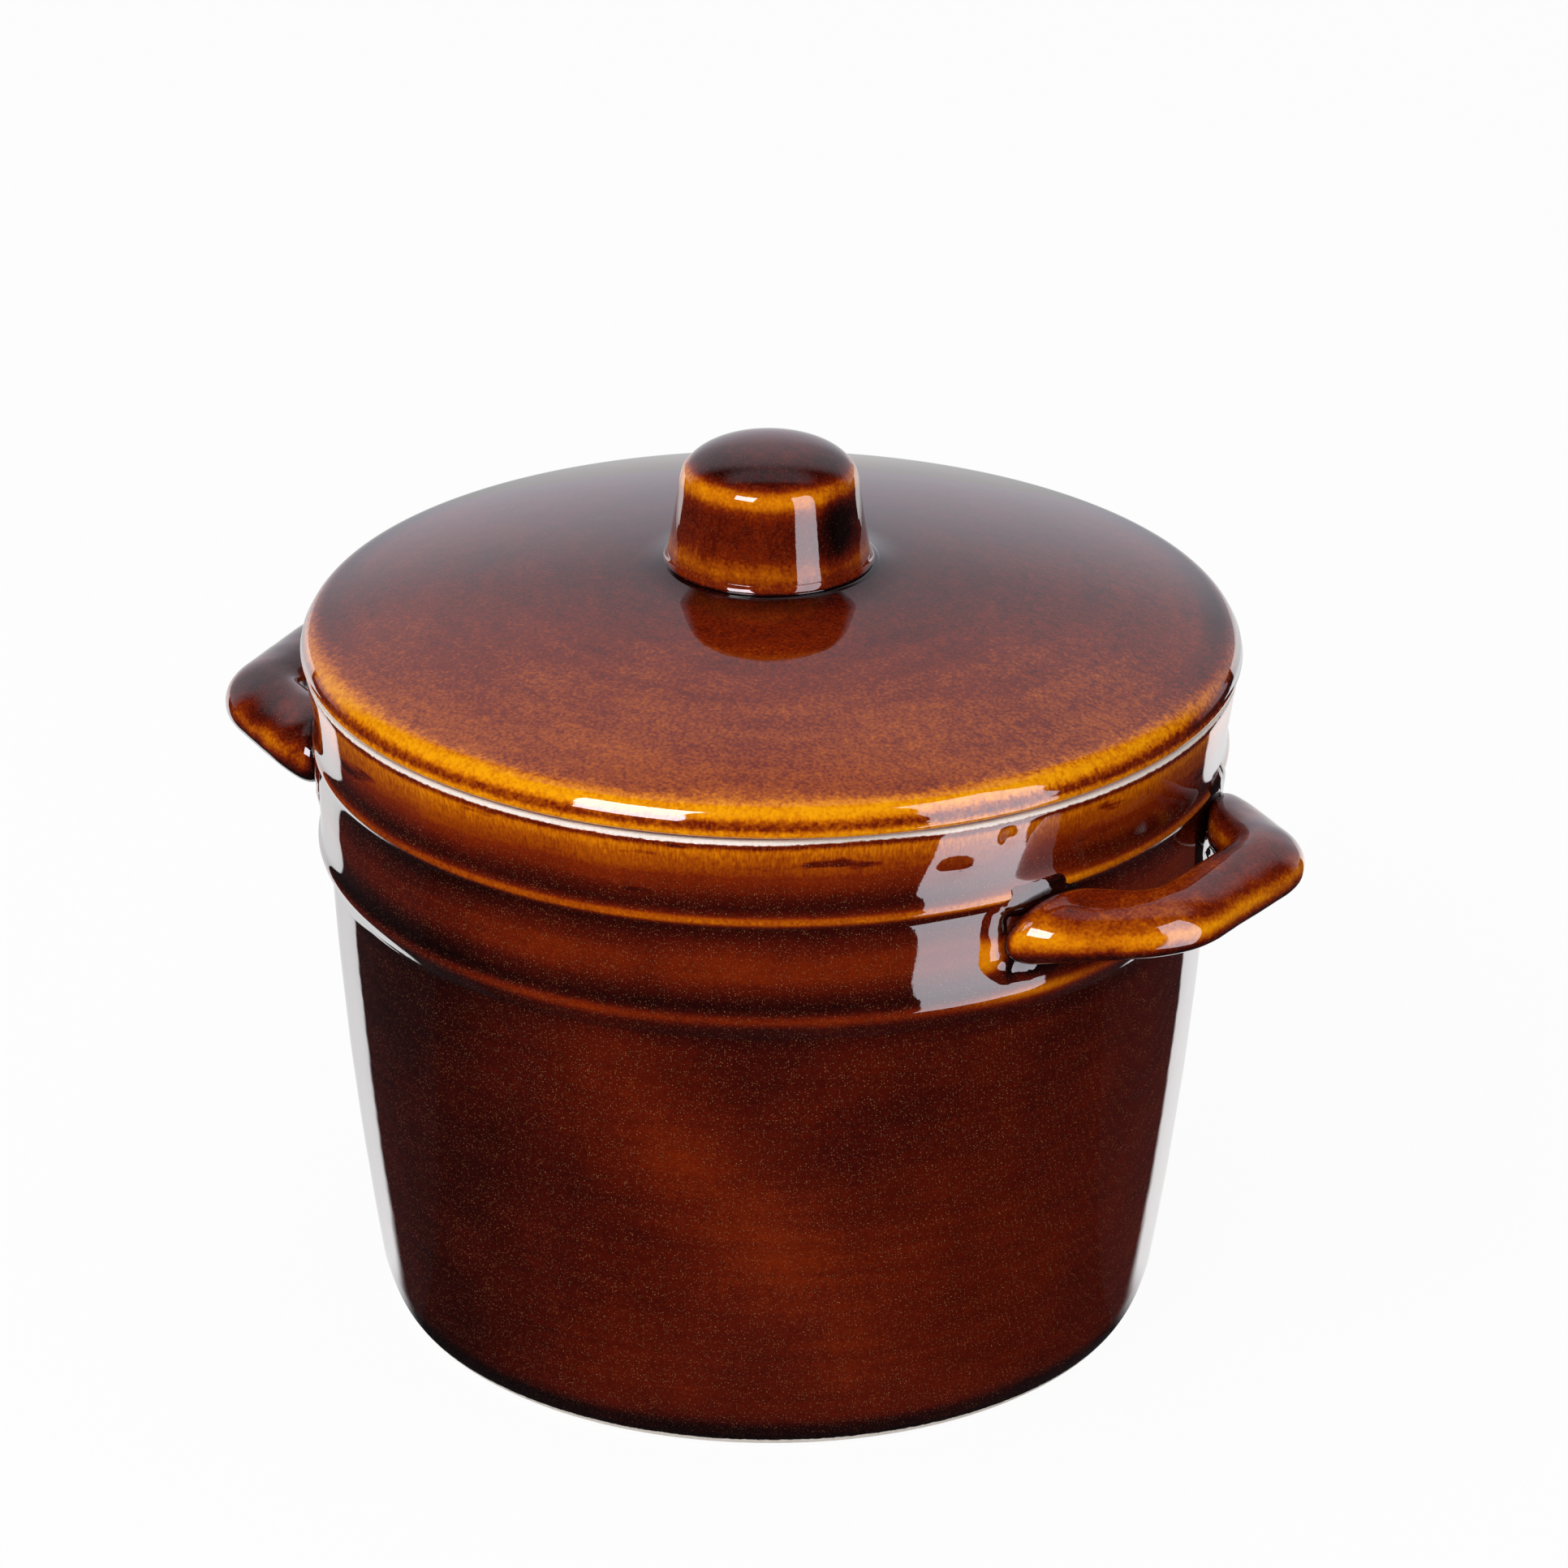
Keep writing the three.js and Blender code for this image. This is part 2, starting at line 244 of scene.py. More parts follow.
# %% World
FILL_STRENGTH = 0.55
BACKDROP_COLOR = (0.93, 0.9, 1.0, 1)
DARK_COLOR = (0.012, 0.012, 0.014, 1)
UPPER_LEVEL = 0.75
UPPER_EDGE = (0.42, 0.68)  # how far a direction points behind the pot, from dark to lit
LOWER_EDGE = (0.9, 0.99)
CEILING_LEVEL = 0.55
CEILING_EDGE = (0.78, 0.92)  # how far a direction points up
CEILING_FRONT = (-0.05, 0.15)
WHITE = (1, 1, 1, 1)


def kind_of_ray(start, *names):
    """1 for any of the named kinds of ray."""
    total = start.node("ShaderNodeLightPath", output=names[0])
    for name in names[1:]:
        total = total.math("MAXIMUM", total, start.node("ShaderNodeLightPath", output=name))
    return total


world = bpy.data.worlds.new("studio")
scene.world = world
world.use_nodes = True
world.node_tree.nodes.clear()
start = Wire(world.node_tree)
direction = start.node("ShaderNodeTexCoord", output="Generated")
behind = direction.along(tuple(BEHIND))
seen = kind_of_ray(start, "Is Camera Ray")
upper = behind.rise(*UPPER_EDGE)
ceiling = direction.part(2).rise(*CEILING_EDGE) * behind.rise(*CEILING_FRONT) * (1 - upper)
backdrop = upper * UPPER_LEVEL + behind.rise(*LOWER_EDGE) * (1 - UPPER_LEVEL)
backdrop = backdrop + ceiling * CEILING_LEVEL
shown_color = seen.blend(backdrop.blend(DARK_COLOR, BACKDROP_COLOR), WHITE)
shown = start.node("ShaderNodeBackground", None, {0: shown_color, 1: 1.0})
fill = start.node("ShaderNodeBackground", None, {0: WHITE, 1: FILL_STRENGTH})
shows = kind_of_ray(start, "Is Camera Ray", "Is Glossy Ray", "Is Transmission Ray")
sky = start.node("ShaderNodeMixShader", None, {0: shows, 1: fill, 2: shown})
start.node("ShaderNodeOutputWorld", None, {0: sky})
print("world fill", FILL_STRENGTH)

# %% [markdown]
# The floor is white to the camera and keeps a faint shadow. In mirrored rays only the part behind the
# pot is lit. It widens towards the back and is brightest along its brink, which gives the pale lines
# down the wall an even grey and a clear inner edge.

# %% Floor
FLOOR_SIZE = 12
FLOOR_DROP = -0.0002  # just below the foot, so that the two share no plane
FLOOR_PAINT = (0.9, 0.9, 0.9, 1)
SHADOW_SHARE = 0.05
LIT_COLOR = (0.95, 0.95, 0.96, 1)
LIT_START = 0.1  # metres to each side, beside the pot's axis
LIT_LEFT = 0.85  # metres more to the left for each metre further back
LIT_RIGHT = 0.76
LIT_SEAM = 0.02
LIT_EDGE = 0.004
LIT_NEAR = 0.03
LIT_LEVEL = 0.95
LIT_GAIN = 1.25
LIT_BRINK = 0.65


def new_material(name):
    material = bpy.data.materials.new(name)
    material.use_nodes = True
    material.node_tree.nodes.clear()
    return material, Wire(material.node_tree)


def flat_sheet(name, corners, material):
    mesh = bpy.data.meshes.new(name)
    mesh.from_pydata(corners, [], [range(len(corners))])
    mesh.materials.append(material)
    sheet = bpy.data.objects.new(name, mesh)
    scene.collection.objects.link(sheet)
    sheet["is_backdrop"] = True
    return sheet


floor_paint, start = new_material("studio_floor")
place = start.node("ShaderNodeTexCoord", output="Object")
behind = place.along(tuple(BEHIND))
aside = place.along(tuple(RIGHT))
splay = LIT_LEFT + aside.rise(-LIT_SEAM, LIT_SEAM) * (LIT_RIGHT - LIT_LEFT)
inside = LIT_START + behind * splay - aside.math("ABSOLUTE")
brink = 1 - (inside / (behind + LIT_NEAR)).rise(0.0, LIT_BRINK)
level = LIT_LEVEL + brink * LIT_GAIN
lit_share = inside.rise(-LIT_EDGE, LIT_EDGE) * behind.rise(-LIT_NEAR, 0.0)
lit_color = lit_share.blend(DARK_COLOR, LIT_COLOR).scaled(level)
paint = start.node("ShaderNodeBsdfDiffuse", None, {"Color": FLOOR_PAINT})
white = start.node("ShaderNodeEmission", None, {0: WHITE, 1: 1.0})
lit = start.node("ShaderNodeEmission", None, {0: lit_color, 1: 1.0})
to_camera = start.node("ShaderNodeMixShader", None, {0: SHADOW_SHARE, 1: white, 2: paint})
seen = kind_of_ray(start, "Is Camera Ray")
mirrored = kind_of_ray(start, "Is Glossy Ray", "Is Transmission Ray")
plain = start.node("ShaderNodeMixShader", None, {0: seen, 1: paint, 2: to_camera})
surface = start.node("ShaderNodeMixShader", None, {0: mirrored, 1: plain, 2: lit})
start.node("ShaderNodeOutputMaterial", None, {0: surface})
half = FLOOR_SIZE / 2
corner_signs = ((-1, -1), (1, -1), (1, 1), (-1, 1))
floor_corners = [(x * half, y * half, FLOOR_DROP) for x, y in corner_signs]
flat_sheet("studio_floor", floor_corners, floor_paint)
print("floor of", FLOOR_SIZE, "metres")

# %% [markdown]
# Two soft lights give the glaze its highlights: a softbox high on the left, and a tall window that
# stands close to the pot on the right. Both only have to be mirrored, so they are glowing sheets that
# the camera and the dull surfaces do not see. Each has a grid of upright slats in front of it, which
# keeps its light from going sideways. A plain soft lamp, which is not mirrored, lights the clay.

# %% Lights
SHEET_COLOR = (0.95, 0.92, 1.0, 1)
GRID_EDGE = (0.56, 0.65)
POT_MIDDLE = Vector((0, 0, 0.14))
POT_FOOT = Vector((0, 0, 0))
SHEETS = (  # name, target, place, reach to the sides, reach up and down, level
    ("left_softbox", POT_MIDDLE, (-34, 37, 0.9), (-0.19, 0.19), (-0.18, 0.18), 20.0),
    ("right_window", POT_FOOT, (51.5, 0, 0.246), (-0.025, 0.095), (0.004, 0.4), 7.0),
)
LAMP_PLACE = (-25, 45, 1.5)
LAMP_SIZE = 0.8
LAMP_LEVEL = 0.45


def glowing_sheet(name, target, place, across, height, level):
    """A sheet of light behind a grid, facing a target; across and height say how far it reaches."""
    face = studio_place(*place)
    aside = Vector((face.y, -face.x, 0)).normalized()
    upright = aside.cross(face).normalized()
    glow_paint, start = new_material(name)
    grid = start.node("ShaderNodeCombineXYZ", None, {0: aside.x, 1: aside.y})
    forwards = start.node("ShaderNodeLayerWeight", None, {"Blend": 0.5, "Normal": grid}, "Facing")
    glow_color = forwards.rise(*GRID_EDGE).blend(DARK_COLOR, SHEET_COLOR)
    glow = start.node("ShaderNodeEmission", None, {0: glow_color, 1: level})
    start.node("ShaderNodeOutputMaterial", None, {0: glow})
    low, high = (target + face + upright * edge for edge in height)
    left, right = (aside * edge for edge in across)
    corners = [low + left, low + right, high + right, high + left]
    sheet = flat_sheet(name, corners, glow_paint)
    sheet.visible_camera = False
    sheet.visible_diffuse = False
    sheet.visible_shadow = False


for sheet_values in SHEETS:
    glowing_sheet(*sheet_values)

lamp_data = bpy.data.lights.new("soft_lamp", "AREA")
lamp_data.shape = "DISK"
lamp_data.size = LAMP_SIZE
lamp = bpy.data.objects.new("soft_lamp", lamp_data)
scene.collection.objects.link(lamp)
lamp.location = POT_MIDDLE + studio_place(*LAMP_PLACE)
lamp.rotation_euler = (POT_MIDDLE - lamp.location).to_track_quat("-Z", "Y").to_euler()
lamp_data.energy = math.pi**2 * LAMP_LEVEL * LAMP_PLACE[2] ** 2
lamp.visible_glossy = False
print("lamp of", round(lamp_data.energy, 1), "W")

# %% [markdown]
# ## The glaze
#
# Iron glazes like this one are a coloured glass. Where the coat is thick it is almost black, on a wall
# it is deep red, and where it runs thin over an edge it turns amber. So each piece carries one number
# for every point of its surface, `thin`, and one color ramp turns it into glaze. A second number,
# `glaze_line`, is the distance in millimetres to the place where the glaze was wiped off, and it is
# negative on the bare clay.

# %% Glaze and bare clay
GLAZE_STOPS = (
    (0.0, (0.006, 0.0012, 0.0012)),
    (0.12, (0.018, 0.002, 0.0015)),
    (0.25, (0.05, 0.0036, 0.0018)),
    (0.36, (0.1, 0.0072, 0.002)),
    (0.5, (0.2, 0.018, 0.002)),
    (0.65, (0.42, 0.08, 0.002)),
    (0.8, (0.72, 0.2, 0.002)),
    (1.0, (0.97, 0.38, 0.003)),
)
SPECK_COLOR = (0.44, 0.24, 0.1, 1)
CLAY_STOPS = ((0.25, (0.84, 0.74, 0.64)), (0.5, (0.94, 0.87, 0.79)), (0.8, (0.97, 0.93, 0.88)))


def surface_number(start, name):
    return start.node("ShaderNodeAttribute", {"attribute_name": name}, None, "Fac")


def gold_dust(start, place, scale, size):
    """Points in the glaze, each in a cell of its own and with its own brightness."""
    cells = start.node("ShaderNodeTexVoronoi", None, {"Vector": place, "Scale": scale})
    chance = Wire(start.tree, cells.socket.node.outputs["Color"]).part(0)
    return (1 - cells.rise(size * 0.4, size)) * chance.rise(0.15, 1.0)


print("glaze with", len(GLAZE_STOPS), "stops")

# %% [markdown]
# Soft clouds of several sizes make the coat thicker and thinner, golden dust floats where it is thick,
# and it ends in a dark, ragged line. All of this feeds one shader. A bump adds the step from the coat
# down to the clay.

# %% The glaze material
GLOSS = 0.03
CLAY_ROUGHNESS = 0.7
COAT_THICKNESS = 0.15  # millimetres


def glaze(name, mottle, grain, specks, streaks=0.0, patches=None, relief=None):
    """A glossy iron glaze over clay; each number says how much one unevenness changes the thinness."""
    material, start = new_material(name)
    place = start.node("ShaderNodeTexCoord", output="Object")
    thin = surface_number(start, "thin")
    line = surface_number(start, "glaze_line")
    ragged_line = line + start.cloud(place, 700, 3) * 0.7
    thin = thin + start.cloud(place, 45, 3) * mottle
    thin = thin + start.cloud(place, 110, 4, (0.2, 0.2, 4)) * streaks
    thin = thin + start.cloud(place, 1400, 3) * grain + start.cloud(place, 420, 3) * grain * 0.4
    if patches:
        thin = thin + patches(start, place)
    thin = thin - ragged_line.bell(0.5, 0.7) * 0.35
    glass = start.node("ShaderNodeValToRGB", {"stops": GLAZE_STOPS}, {0: thin})
    dust = gold_dust(start, place, 1300, 0.19) * 0.65 + gold_dust(start, place, 2300, 0.32) * 0.5
    speck = dust * (1 - thin.rise(0.38, 0.6)) * (0.4 + thin.rise(0.04, 0.24) * 0.6) * specks
    glass = speck.blend(glass, SPECK_COLOR)
    clay_grain = start.cloud(place, 1500, 4) + 0.5
    clay = start.node("ShaderNodeValToRGB", {"stops": CLAY_STOPS}, {0: clay_grain})
    glazed = ragged_line.rise(-0.15, 0.15)
    color = glazed.blend(clay, glass)
    gloss = GLOSS + start.cloud(place, 300, 3) * GLOSS
    roughness = glazed * gloss + (1 - glazed) * CLAY_ROUGHNESS
    height = start.cloud(place, 1700, 2) * 0.0025 + start.cloud(place, 170, 2) * 0.02 * glazed
    height = height + (1 - glazed) * clay_grain * 0.06 + glazed * COAT_THICKNESS
    if relief:
        height = height + relief(start, place)
    bump = start.node("ShaderNodeBump", None, {"Height": height, "Strength": 1.0, "Distance": MM})
    inputs = {"Base Color": color, "Roughness": roughness, "IOR": 1.5, "Normal": bump}
    shader = start.node("ShaderNodeBsdfPrincipled", None, inputs)
    start.node("ShaderNodeOutputMaterial", None, {0: shader})
    return material


print("gloss", GLOSS, "on the glaze and", CLAY_ROUGHNESS, "on the clay")

# %% [markdown]
# ## Turning on the wheel
#
# The pot, the lid, the knob and the slip under the knob are all turned: one profile goes round an axis.
# A Geometry Nodes tree does the turning. Its input is the profile, a plain line whose points carry the
# surface numbers. The tree lays a grid with one row for each point of the profile, bends it round the
# axis, and adds a wobble as small as a thrower's hand leaves, so that mirrored edges are never quite
# straight.

# %% The wheel
WHEEL_SEGMENTS = 256
MERGE_DISTANCE = 0.002 * MM
NUMBERS = ("thin", "glaze_line")


def new_tree(name, **labels_by_kind):
    """A Geometry Nodes tree with named inputs of each kind, and a wire for each of them."""
    tree = bpy.data.node_groups.new(name, "GeometryNodeTree")
    tree.interface.new_socket("Geometry", in_out="OUTPUT", socket_type="NodeSocketGeometry")
    for kind, labels in labels_by_kind.items():
        for label in labels:
            tree.interface.new_socket(label, in_out="INPUT", socket_type="NodeSocket" + kind)
    group_input = tree.nodes.new("NodeGroupInput")
    return tree, {socket.name: Wire(tree, socket) for socket in group_input.outputs if socket.name}


def end_tree(tree, shape, material):
    """Smooth shading, the material and plain geometry end every tree."""
    smooth = shape.node("GeometryNodeSetShadeSmooth", None, {0: shape})
    painted = smooth.node("GeometryNodeSetMaterial", None, {"Geometry": smooth, "Material": material})
    real = painted.node("GeometryNodeRealizeInstances", None, {0: painted})
    real.node("NodeGroupOutput", None, {0: real})


def with_number(shape, name, value):
    """The shape with a number stored on each of its points."""
    return shape.node("GeometryNodeStoreNamedAttribute", None, {0: shape, "Name": name, "Value": value})


wheel, given = new_tree(
    "wheel", Geometry=["Profile"], Int=["Segments"], Float=["Wobble"], Material=["Material"]
)
profile = given["Profile"]
rows = profile.node("GeometryNodeAttributeDomainSize", None, {0: profile})
columns = given["Segments"] + 1
shape = rows.node("GeometryNodeMeshGrid", None, {"Vertices X": rows, "Vertices Y": columns})
index = rows.node("GeometryNodeInputIndex")
row = ((index + 0.25) / columns).math("FLOOR")
angle = (index - row * columns) / given["Segments"] * (2 * math.pi)
position = rows.node("GeometryNodeInputPosition")
vector_kind = {"data_type": "FLOAT_VECTOR"}
spot = rows.node("GeometryNodeSampleIndex", vector_kind, {0: profile, 1: position, 2: row})
reach = spot.part(0)
outward = rows.node("ShaderNodeCombineXYZ", None, {0: angle.math("COSINE"), 1: angle.math("SINE")})
upward = rows.node("ShaderNodeCombineXYZ", None, {2: spot.part(2)})
turned = upward.vector("ADD", outward.scaled(reach), upward)
wobble = rows.cloud(turned, 22, 2, (1, 1, 3)) * given["Wobble"] * reach.rise(0.004, 0.02)
turned = turned.vector("ADD", turned, outward.scaled(wobble))
for name in NUMBERS:
    number = rows.node("GeometryNodeInputNamedAttribute", None, {"Name": name})
    value = rows.node("GeometryNodeSampleIndex", None, {0: profile, 1: number, 2: row})
    shape = with_number(shape, name, value)
shape = rows.node("GeometryNodeSetPosition", None, {0: shape, "Position": turned})
shape = rows.node("GeometryNodeMergeByDistance", None, {0: shape, "Distance": MERGE_DISTANCE})
end_tree(wheel, shape, given["Material"])
print("wheel tree with", len(wheel.nodes), "nodes")

# %% [markdown]
# A few helpers carry points from Python to the trees and finished meshes back. After a tree has run,
# its result is kept as a plain mesh. A count of open edges and the enclosed volume show that the piece
# is closed and not inside out.

# %% Helpers for finished pieces
def line_object(name, points, numbers, closed=False):
    """An object that is only a line; numbers holds one list of values for each name."""
    edges = [(i, i + 1) for i in range(len(points) - 1)]
    if closed:
        edges.append((len(points) - 1, 0))
    mesh = bpy.data.meshes.new(name)
    mesh.from_pydata([Vector(point) * MM for point in points], edges, [])
    for label, values in numbers.items():
        mesh.attributes.new(label, "FLOAT", "POINT").data.foreach_set("value", values)
    line = bpy.data.objects.new(name, mesh)
    scene.collection.objects.link(line)
    return line


def run_tree(source, tree, values):
    """Runs a tree on an object and leaves the result as the object's own plain mesh."""
    modifier = source.modifiers.new("tree", "NODES")
    modifier.node_group = tree
    for socket in tree.interface.items_tree:
        if socket.in_out == "INPUT" and socket.name in values:
            modifier[socket.identifier] = values[socket.name]
    graph = bpy.context.evaluated_depsgraph_get()
    evaluated = source.evaluated_get(graph)
    mesh = bpy.data.meshes.new_from_object(evaluated, preserve_all_data_layers=True, depsgraph=graph)
    source.modifiers.remove(modifier)
    old = source.data
    source.data = mesh
    bpy.data.meshes.remove(old)
    mesh.name = source.name
    return source


def measure(piece):
    """Prints the triangles, the open edges and the volume of a piece."""
    shell = bmesh.new()
    shell.from_mesh(piece.data)
    open_edges = sum(1 for edge in shell.edges if not edge.is_manifold)
    volume = shell.calc_volume(signed=True) * 1e6
    triangles = sum(len(face.verts) - 2 for face in shell.faces)
    shell.free()
    print(f"{piece.name}: {triangles} triangles, {open_edges} open edges, {volume:.1f} cm3")


def keep(piece, body, slot, *nodes):
    """Ties a finished piece to its body and hides the solids that it stands for; its finish, slot, is not
    used.
    """
    measure(piece)
    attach(piece, body)
    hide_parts(*nodes)


print("trees can run on lines")

# %% [markdown]
# A thrown outline is made of soft corners and long, slow lines, so a few points and two helpers draw
# most of it. A turned piece then needs one row for each point: radius, height, thinness and distance to
# the glaze line.

# %% Helpers for outlines
BARE = -3
FAR = 5  # millimetres; so far inside the glaze its edge no longer matters


def bend(start, corner, end, count=8):
    """Points on a round corner."""
    points = []
    for i in range(count + 1):
        t = i / count
        shares = ((1 - t) ** 2, 2 * t * (1 - t), t * t)
        points.append(tuple(
            sum(share * value for share, value in zip(shares, axis))
            for axis in zip(start, corner, end)
        ))
    return points


def finer(points, step):
    """The same line with points no further apart than a step."""
    result = [points[0]]
    for a, b in zip(points, points[1:]):
        count = max(1, math.ceil(math.dist(a, b) / step))
        result += [tuple(p + (q - p) * i / count for p, q in zip(a, b)) for i in range(1, count + 1)]
    return result


def between(value, stops):
    """A number read off a list of stops."""
    if value <= stops[0][0]:
        return stops[0][1]
    for (low, first), (high, second) in zip(stops, stops[1:]):
        if value <= high:
            return first + (second - first) * (value - low) / (high - low)
    return stops[-1][1]


def turned_piece(name, rows, wobble, material):
    """A turned piece from rows of radius, height, thinness and distance to the glaze line."""
    area = sum(a[0] * b[1] - b[0] * a[1] for a, b in zip(rows, rows[1:] + rows[:1]))
    if area > 0:
        rows = rows[::-1]  # the wheel wants the outside on the left hand of the line
    numbers = {"thin": [row[2] for row in rows], "glaze_line": [row[3] for row in rows]}
    source = line_object(name, [(row[0], 0, row[1]) for row in rows], numbers)
    values = {"Segments": WHEEL_SEGMENTS, "Wobble": wobble * MM, "Material": material}
    return run_tree(source, wheel, values)


print("the wheel is ready")

# %% [markdown]
# ## The pot
#
# The pot is one thrown form. Its wall leans out a little, and two ridges with a hollow above each step
# it out to the rim. Glaze runs off the ridges and pools in the hollows, so the ridges are amber and the
# hollows nearly black. The top of the rim and the foot were wiped clean before firing.

# %% Outline of the pot
FOOT_RADIUS = 78
FOOT_CORNER = 81.6
RECESS_RADIUS = 65.5
RECESS_HEIGHT = 2
RECESS_SLOPE = 1.5
WALL_FOOT = (84, 10)
WALL_SWELL = (91.3, 55.65)
WAIST = (93.8, 101.3)
BAND_TOP = (98.8, 146.6)
RIM_CORNER = 98.9
RIM_OUTER = 97.5
RIM_INNER = 89.9
MOUTH = (88.5, 146.6)
INNER_FOOT = (75, 24)
INNER_FLOOR = (61, 10)
BAND_POINTS = (
    WAIST, (96.4, 106.3), (95.9, 109.9), (96.15, 117.65), (96.2, 126.5), (97.4, 129), (96.9, 133),
    BAND_TOP,
)


def smooth_line(points, count):
    """A line that passes smoothly through all the points."""
    result = []
    for i in range(len(points) - 1):
        p0 = points[max(i - 1, 0)]
        p1, p2 = points[i], points[i + 1]
        p3 = points[min(i + 2, len(points) - 1)]
        for j in range(count):
            t = j / count
            result.append(tuple(
                b + 0.5 * t * (c - a + t * (2 * a - 5 * b + 4 * c - d + t * (3 * (b - c) + d - a)))
                for a, b, c, d in zip(p0, p1, p2, p3)
            ))
    return result + [points[-1]]


outer_wall = (
    bend((FOOT_RADIUS, 0), (FOOT_CORNER, 0), WALL_FOOT, 14)
    + bend(WALL_FOOT, WALL_SWELL, WAIST, 76)[1:]
    + smooth_line(BAND_POINTS, 14)[1:]
    + bend(BAND_TOP, (RIM_CORNER, POT_HEIGHT), (RIM_OUTER, POT_HEIGHT))[1:]
)
rim_top = finer([(RIM_OUTER, POT_HEIGHT), (RIM_INNER, POT_HEIGHT)], 1.0)[1:]
rim_top += bend((RIM_INNER, POT_HEIGHT), (MOUTH[0], POT_HEIGHT), MOUTH, 5)[1:]
inner_wall = (
    finer([MOUTH, INNER_FOOT], 2.5)[1:]
    + bend(INNER_FOOT, (INNER_FOOT[0], INNER_FLOOR[1]), INNER_FLOOR, 10)[1:]
    + finer([INNER_FLOOR, (0, INNER_FLOOR[1])], 5)[1:]
)
recess_edge = (RECESS_RADIUS, RECESS_HEIGHT)
underside = finer([(0, RECESS_HEIGHT), recess_edge], 5)
underside += finer([recess_edge, (RECESS_RADIUS + RECESS_SLOPE, 0), (FOOT_RADIUS, 0)], 2)[1:-1]
print("outline points:", len(underside) + len(outer_wall) + len(rim_top) + len(inner_wall))

# %% [markdown]
# The thinness of the glaze follows the height on the outer wall. The stops are listed from the foot
# up: a dark roll above the bare foot, the red wall, and then each hollow and ridge in turn.

# %% Glaze on the pot
# The low stops at 126 to 128 mm, just under the upper ridge, are painted shadow below its step.
POT_THIN = (
    (0, 0.3), (2.2, 0.34), (2.8, 0.2), (3.4, 0.08), (5.4, 0.07), (6.6, 0.2), (8, 0.33), (30, 0.34),
    (60, 0.31), (85, 0.28), (97, 0.28), (102, 0.19), (104.4, 0.22), (105.5, 0.38), (106.4, 0.47),
    (107.4, 0.4), (108.2, 0.2), (109.4, 0.12), (112, 0.26), (116, 0.44), (120, 0.44), (124, 0.3),
    (126.4, 0.18), (127.4, 0.2), (128.2, 0.5), (128.9, 0.67), (129.8, 0.62), (130.6, 0.34), (132, 0.2),
    (134, 0.28), (136.5, 0.42), (139, 0.5), (141, 0.58), (143.4, 0.66), (145, 0.74), (147, 0.78),
)
FOOT_LINE = 2
RIM_LINE = 147
INNER_LINE = 145.5
RIM_BARE = -2.5

pot_rows = [(r, z, 0.4, BARE) for r, z in underside]
pot_rows += [
    (r, z, between(z, POT_THIN), min(z - FOOT_LINE, RIM_LINE - z, FAR))
    for r, z in outer_wall
]
pot_rows += [(r, z, 0.6, RIM_BARE) for r, z in rim_top]
pot_rows += [(r, z, 0.34, min(INNER_LINE - z, FAR)) for r, z in inner_wall]
print("rows of the pot:", len(pot_rows))

# %% [markdown]
# No dipped coat is even. The glaze ran thin in one broad patch on the front, it is streaked under the
# rim and patchy on the ridges, and painted shade darkens the left side of the wall. Each of these is a
# soft mask times an amount, and their sum is added to the thinness. Two finger marks are so shallow
# that a bump shows them well enough.

# %% Runs and finger marks
LOWER_RIDGE = 106.5 * MM
UPPER_RIDGE = 129 * MM


def round_angle(place):
    """The direction of a place round the axis, in radians."""
    return place.math("ARCTAN2", place.part(1), place.part(0))


def wall_patches(start, place):
    """Places where the glaze ran thin or stayed thick as the pot was dipped and turned in the hand, and
    painted shade on its left side.
    """
    z = place.part(2)
    angle = round_angle(place)
    slant = z + (angle + math.radians(75)) * 0.09
    patch = slant.bell(0.078, 0.019) * angle.bell(math.radians(-69), math.radians(29)) * 0.125
    # painted shade: the left side of the wall is made darker, below the bands
    painted_left_shade = angle.bell(math.radians(-117), math.radians(28)) * (1 - z.rise(0.12, 0.14)) * 0.16
    hem = z.rise(0.138, 0.144) * start.cloud(place, 2000, 2, (1, 1, 0.25)) * 0.36
    tops = z.bell(LOWER_RIDGE, 0.0012) * 0.7 + z.bell(UPPER_RIDGE, 0.0014)
    tops = tops * start.cloud(place, 1500, 3) * 0.35
    near_handle = angle.bell(math.radians(-25), math.radians(10))
    ridges = z.bell(LOWER_RIDGE, 0.003) * 0.3 + z.bell(UPPER_RIDGE + 2 * MM, 0.003) * 0.3
    ridges = ridges * near_handle
    smears = start.cloud(place, 90, 3, (0.6, 0.6, 3)).rise(0.1, 0.22) * z.rise(0.132, 0.138) * 0.25
    return patch - painted_left_shade + hem + tops + ridges - smears


DENTS = (  # degrees round the pot, then height, half width and half height
    (-37.3, 138, 2.6, 1.6),
    (-30.4, 143.3, 1.7, 1.8),
)
DENT_DEPTH = 0.4


def finger_dents(start, place):
    """Two shallow marks that a finger left below the rim, in millimetres."""
    z = place.part(2)
    angle = round_angle(place)
    total = 0
    for degrees, middle, half_width, half_height in DENTS:
        reach = half_width / RIM_RADIUS
        dent = angle.bell(math.radians(degrees), reach) * z.bell(middle * MM, half_height * MM)
        total = dent * -DENT_DEPTH + total
    return total


uneven = {"mottle": 0.2, "grain": 0.18, "specks": 1.0, "streaks": 0.12}
pot_glaze = glaze("pot_glaze", **uneven, patches=wall_patches, relief=finger_dents)
print("pot glaze with", len(pot_glaze.node_tree.nodes), "nodes")

# %% [markdown]
# While the clay was soft, a hand held the pot below its rim, near the right handle. That pressed the
# wall in by about a millimetre, which bends the mirrored window there. It is a real change of shape, so
# the points of the wall move.

# %% Throw the pot and press its wall
PRESS_START = (-62, -50)  # degrees round the pot, from untouched to fully pressed
PRESS_END = (-46, -36)
PRESS_FOOT = (130, 133)
PRESS_TOP = 147
PRESS_LEAST = 0.15
PRESS_MORE = 0.9


def eased(value, low, high):
    """0 below low, 1 above high, smooth between them, for plain numbers."""
    share = min(1.0, max(0.0, (value - low) / (high - low)))
    return share * share * (3 - 2 * share)


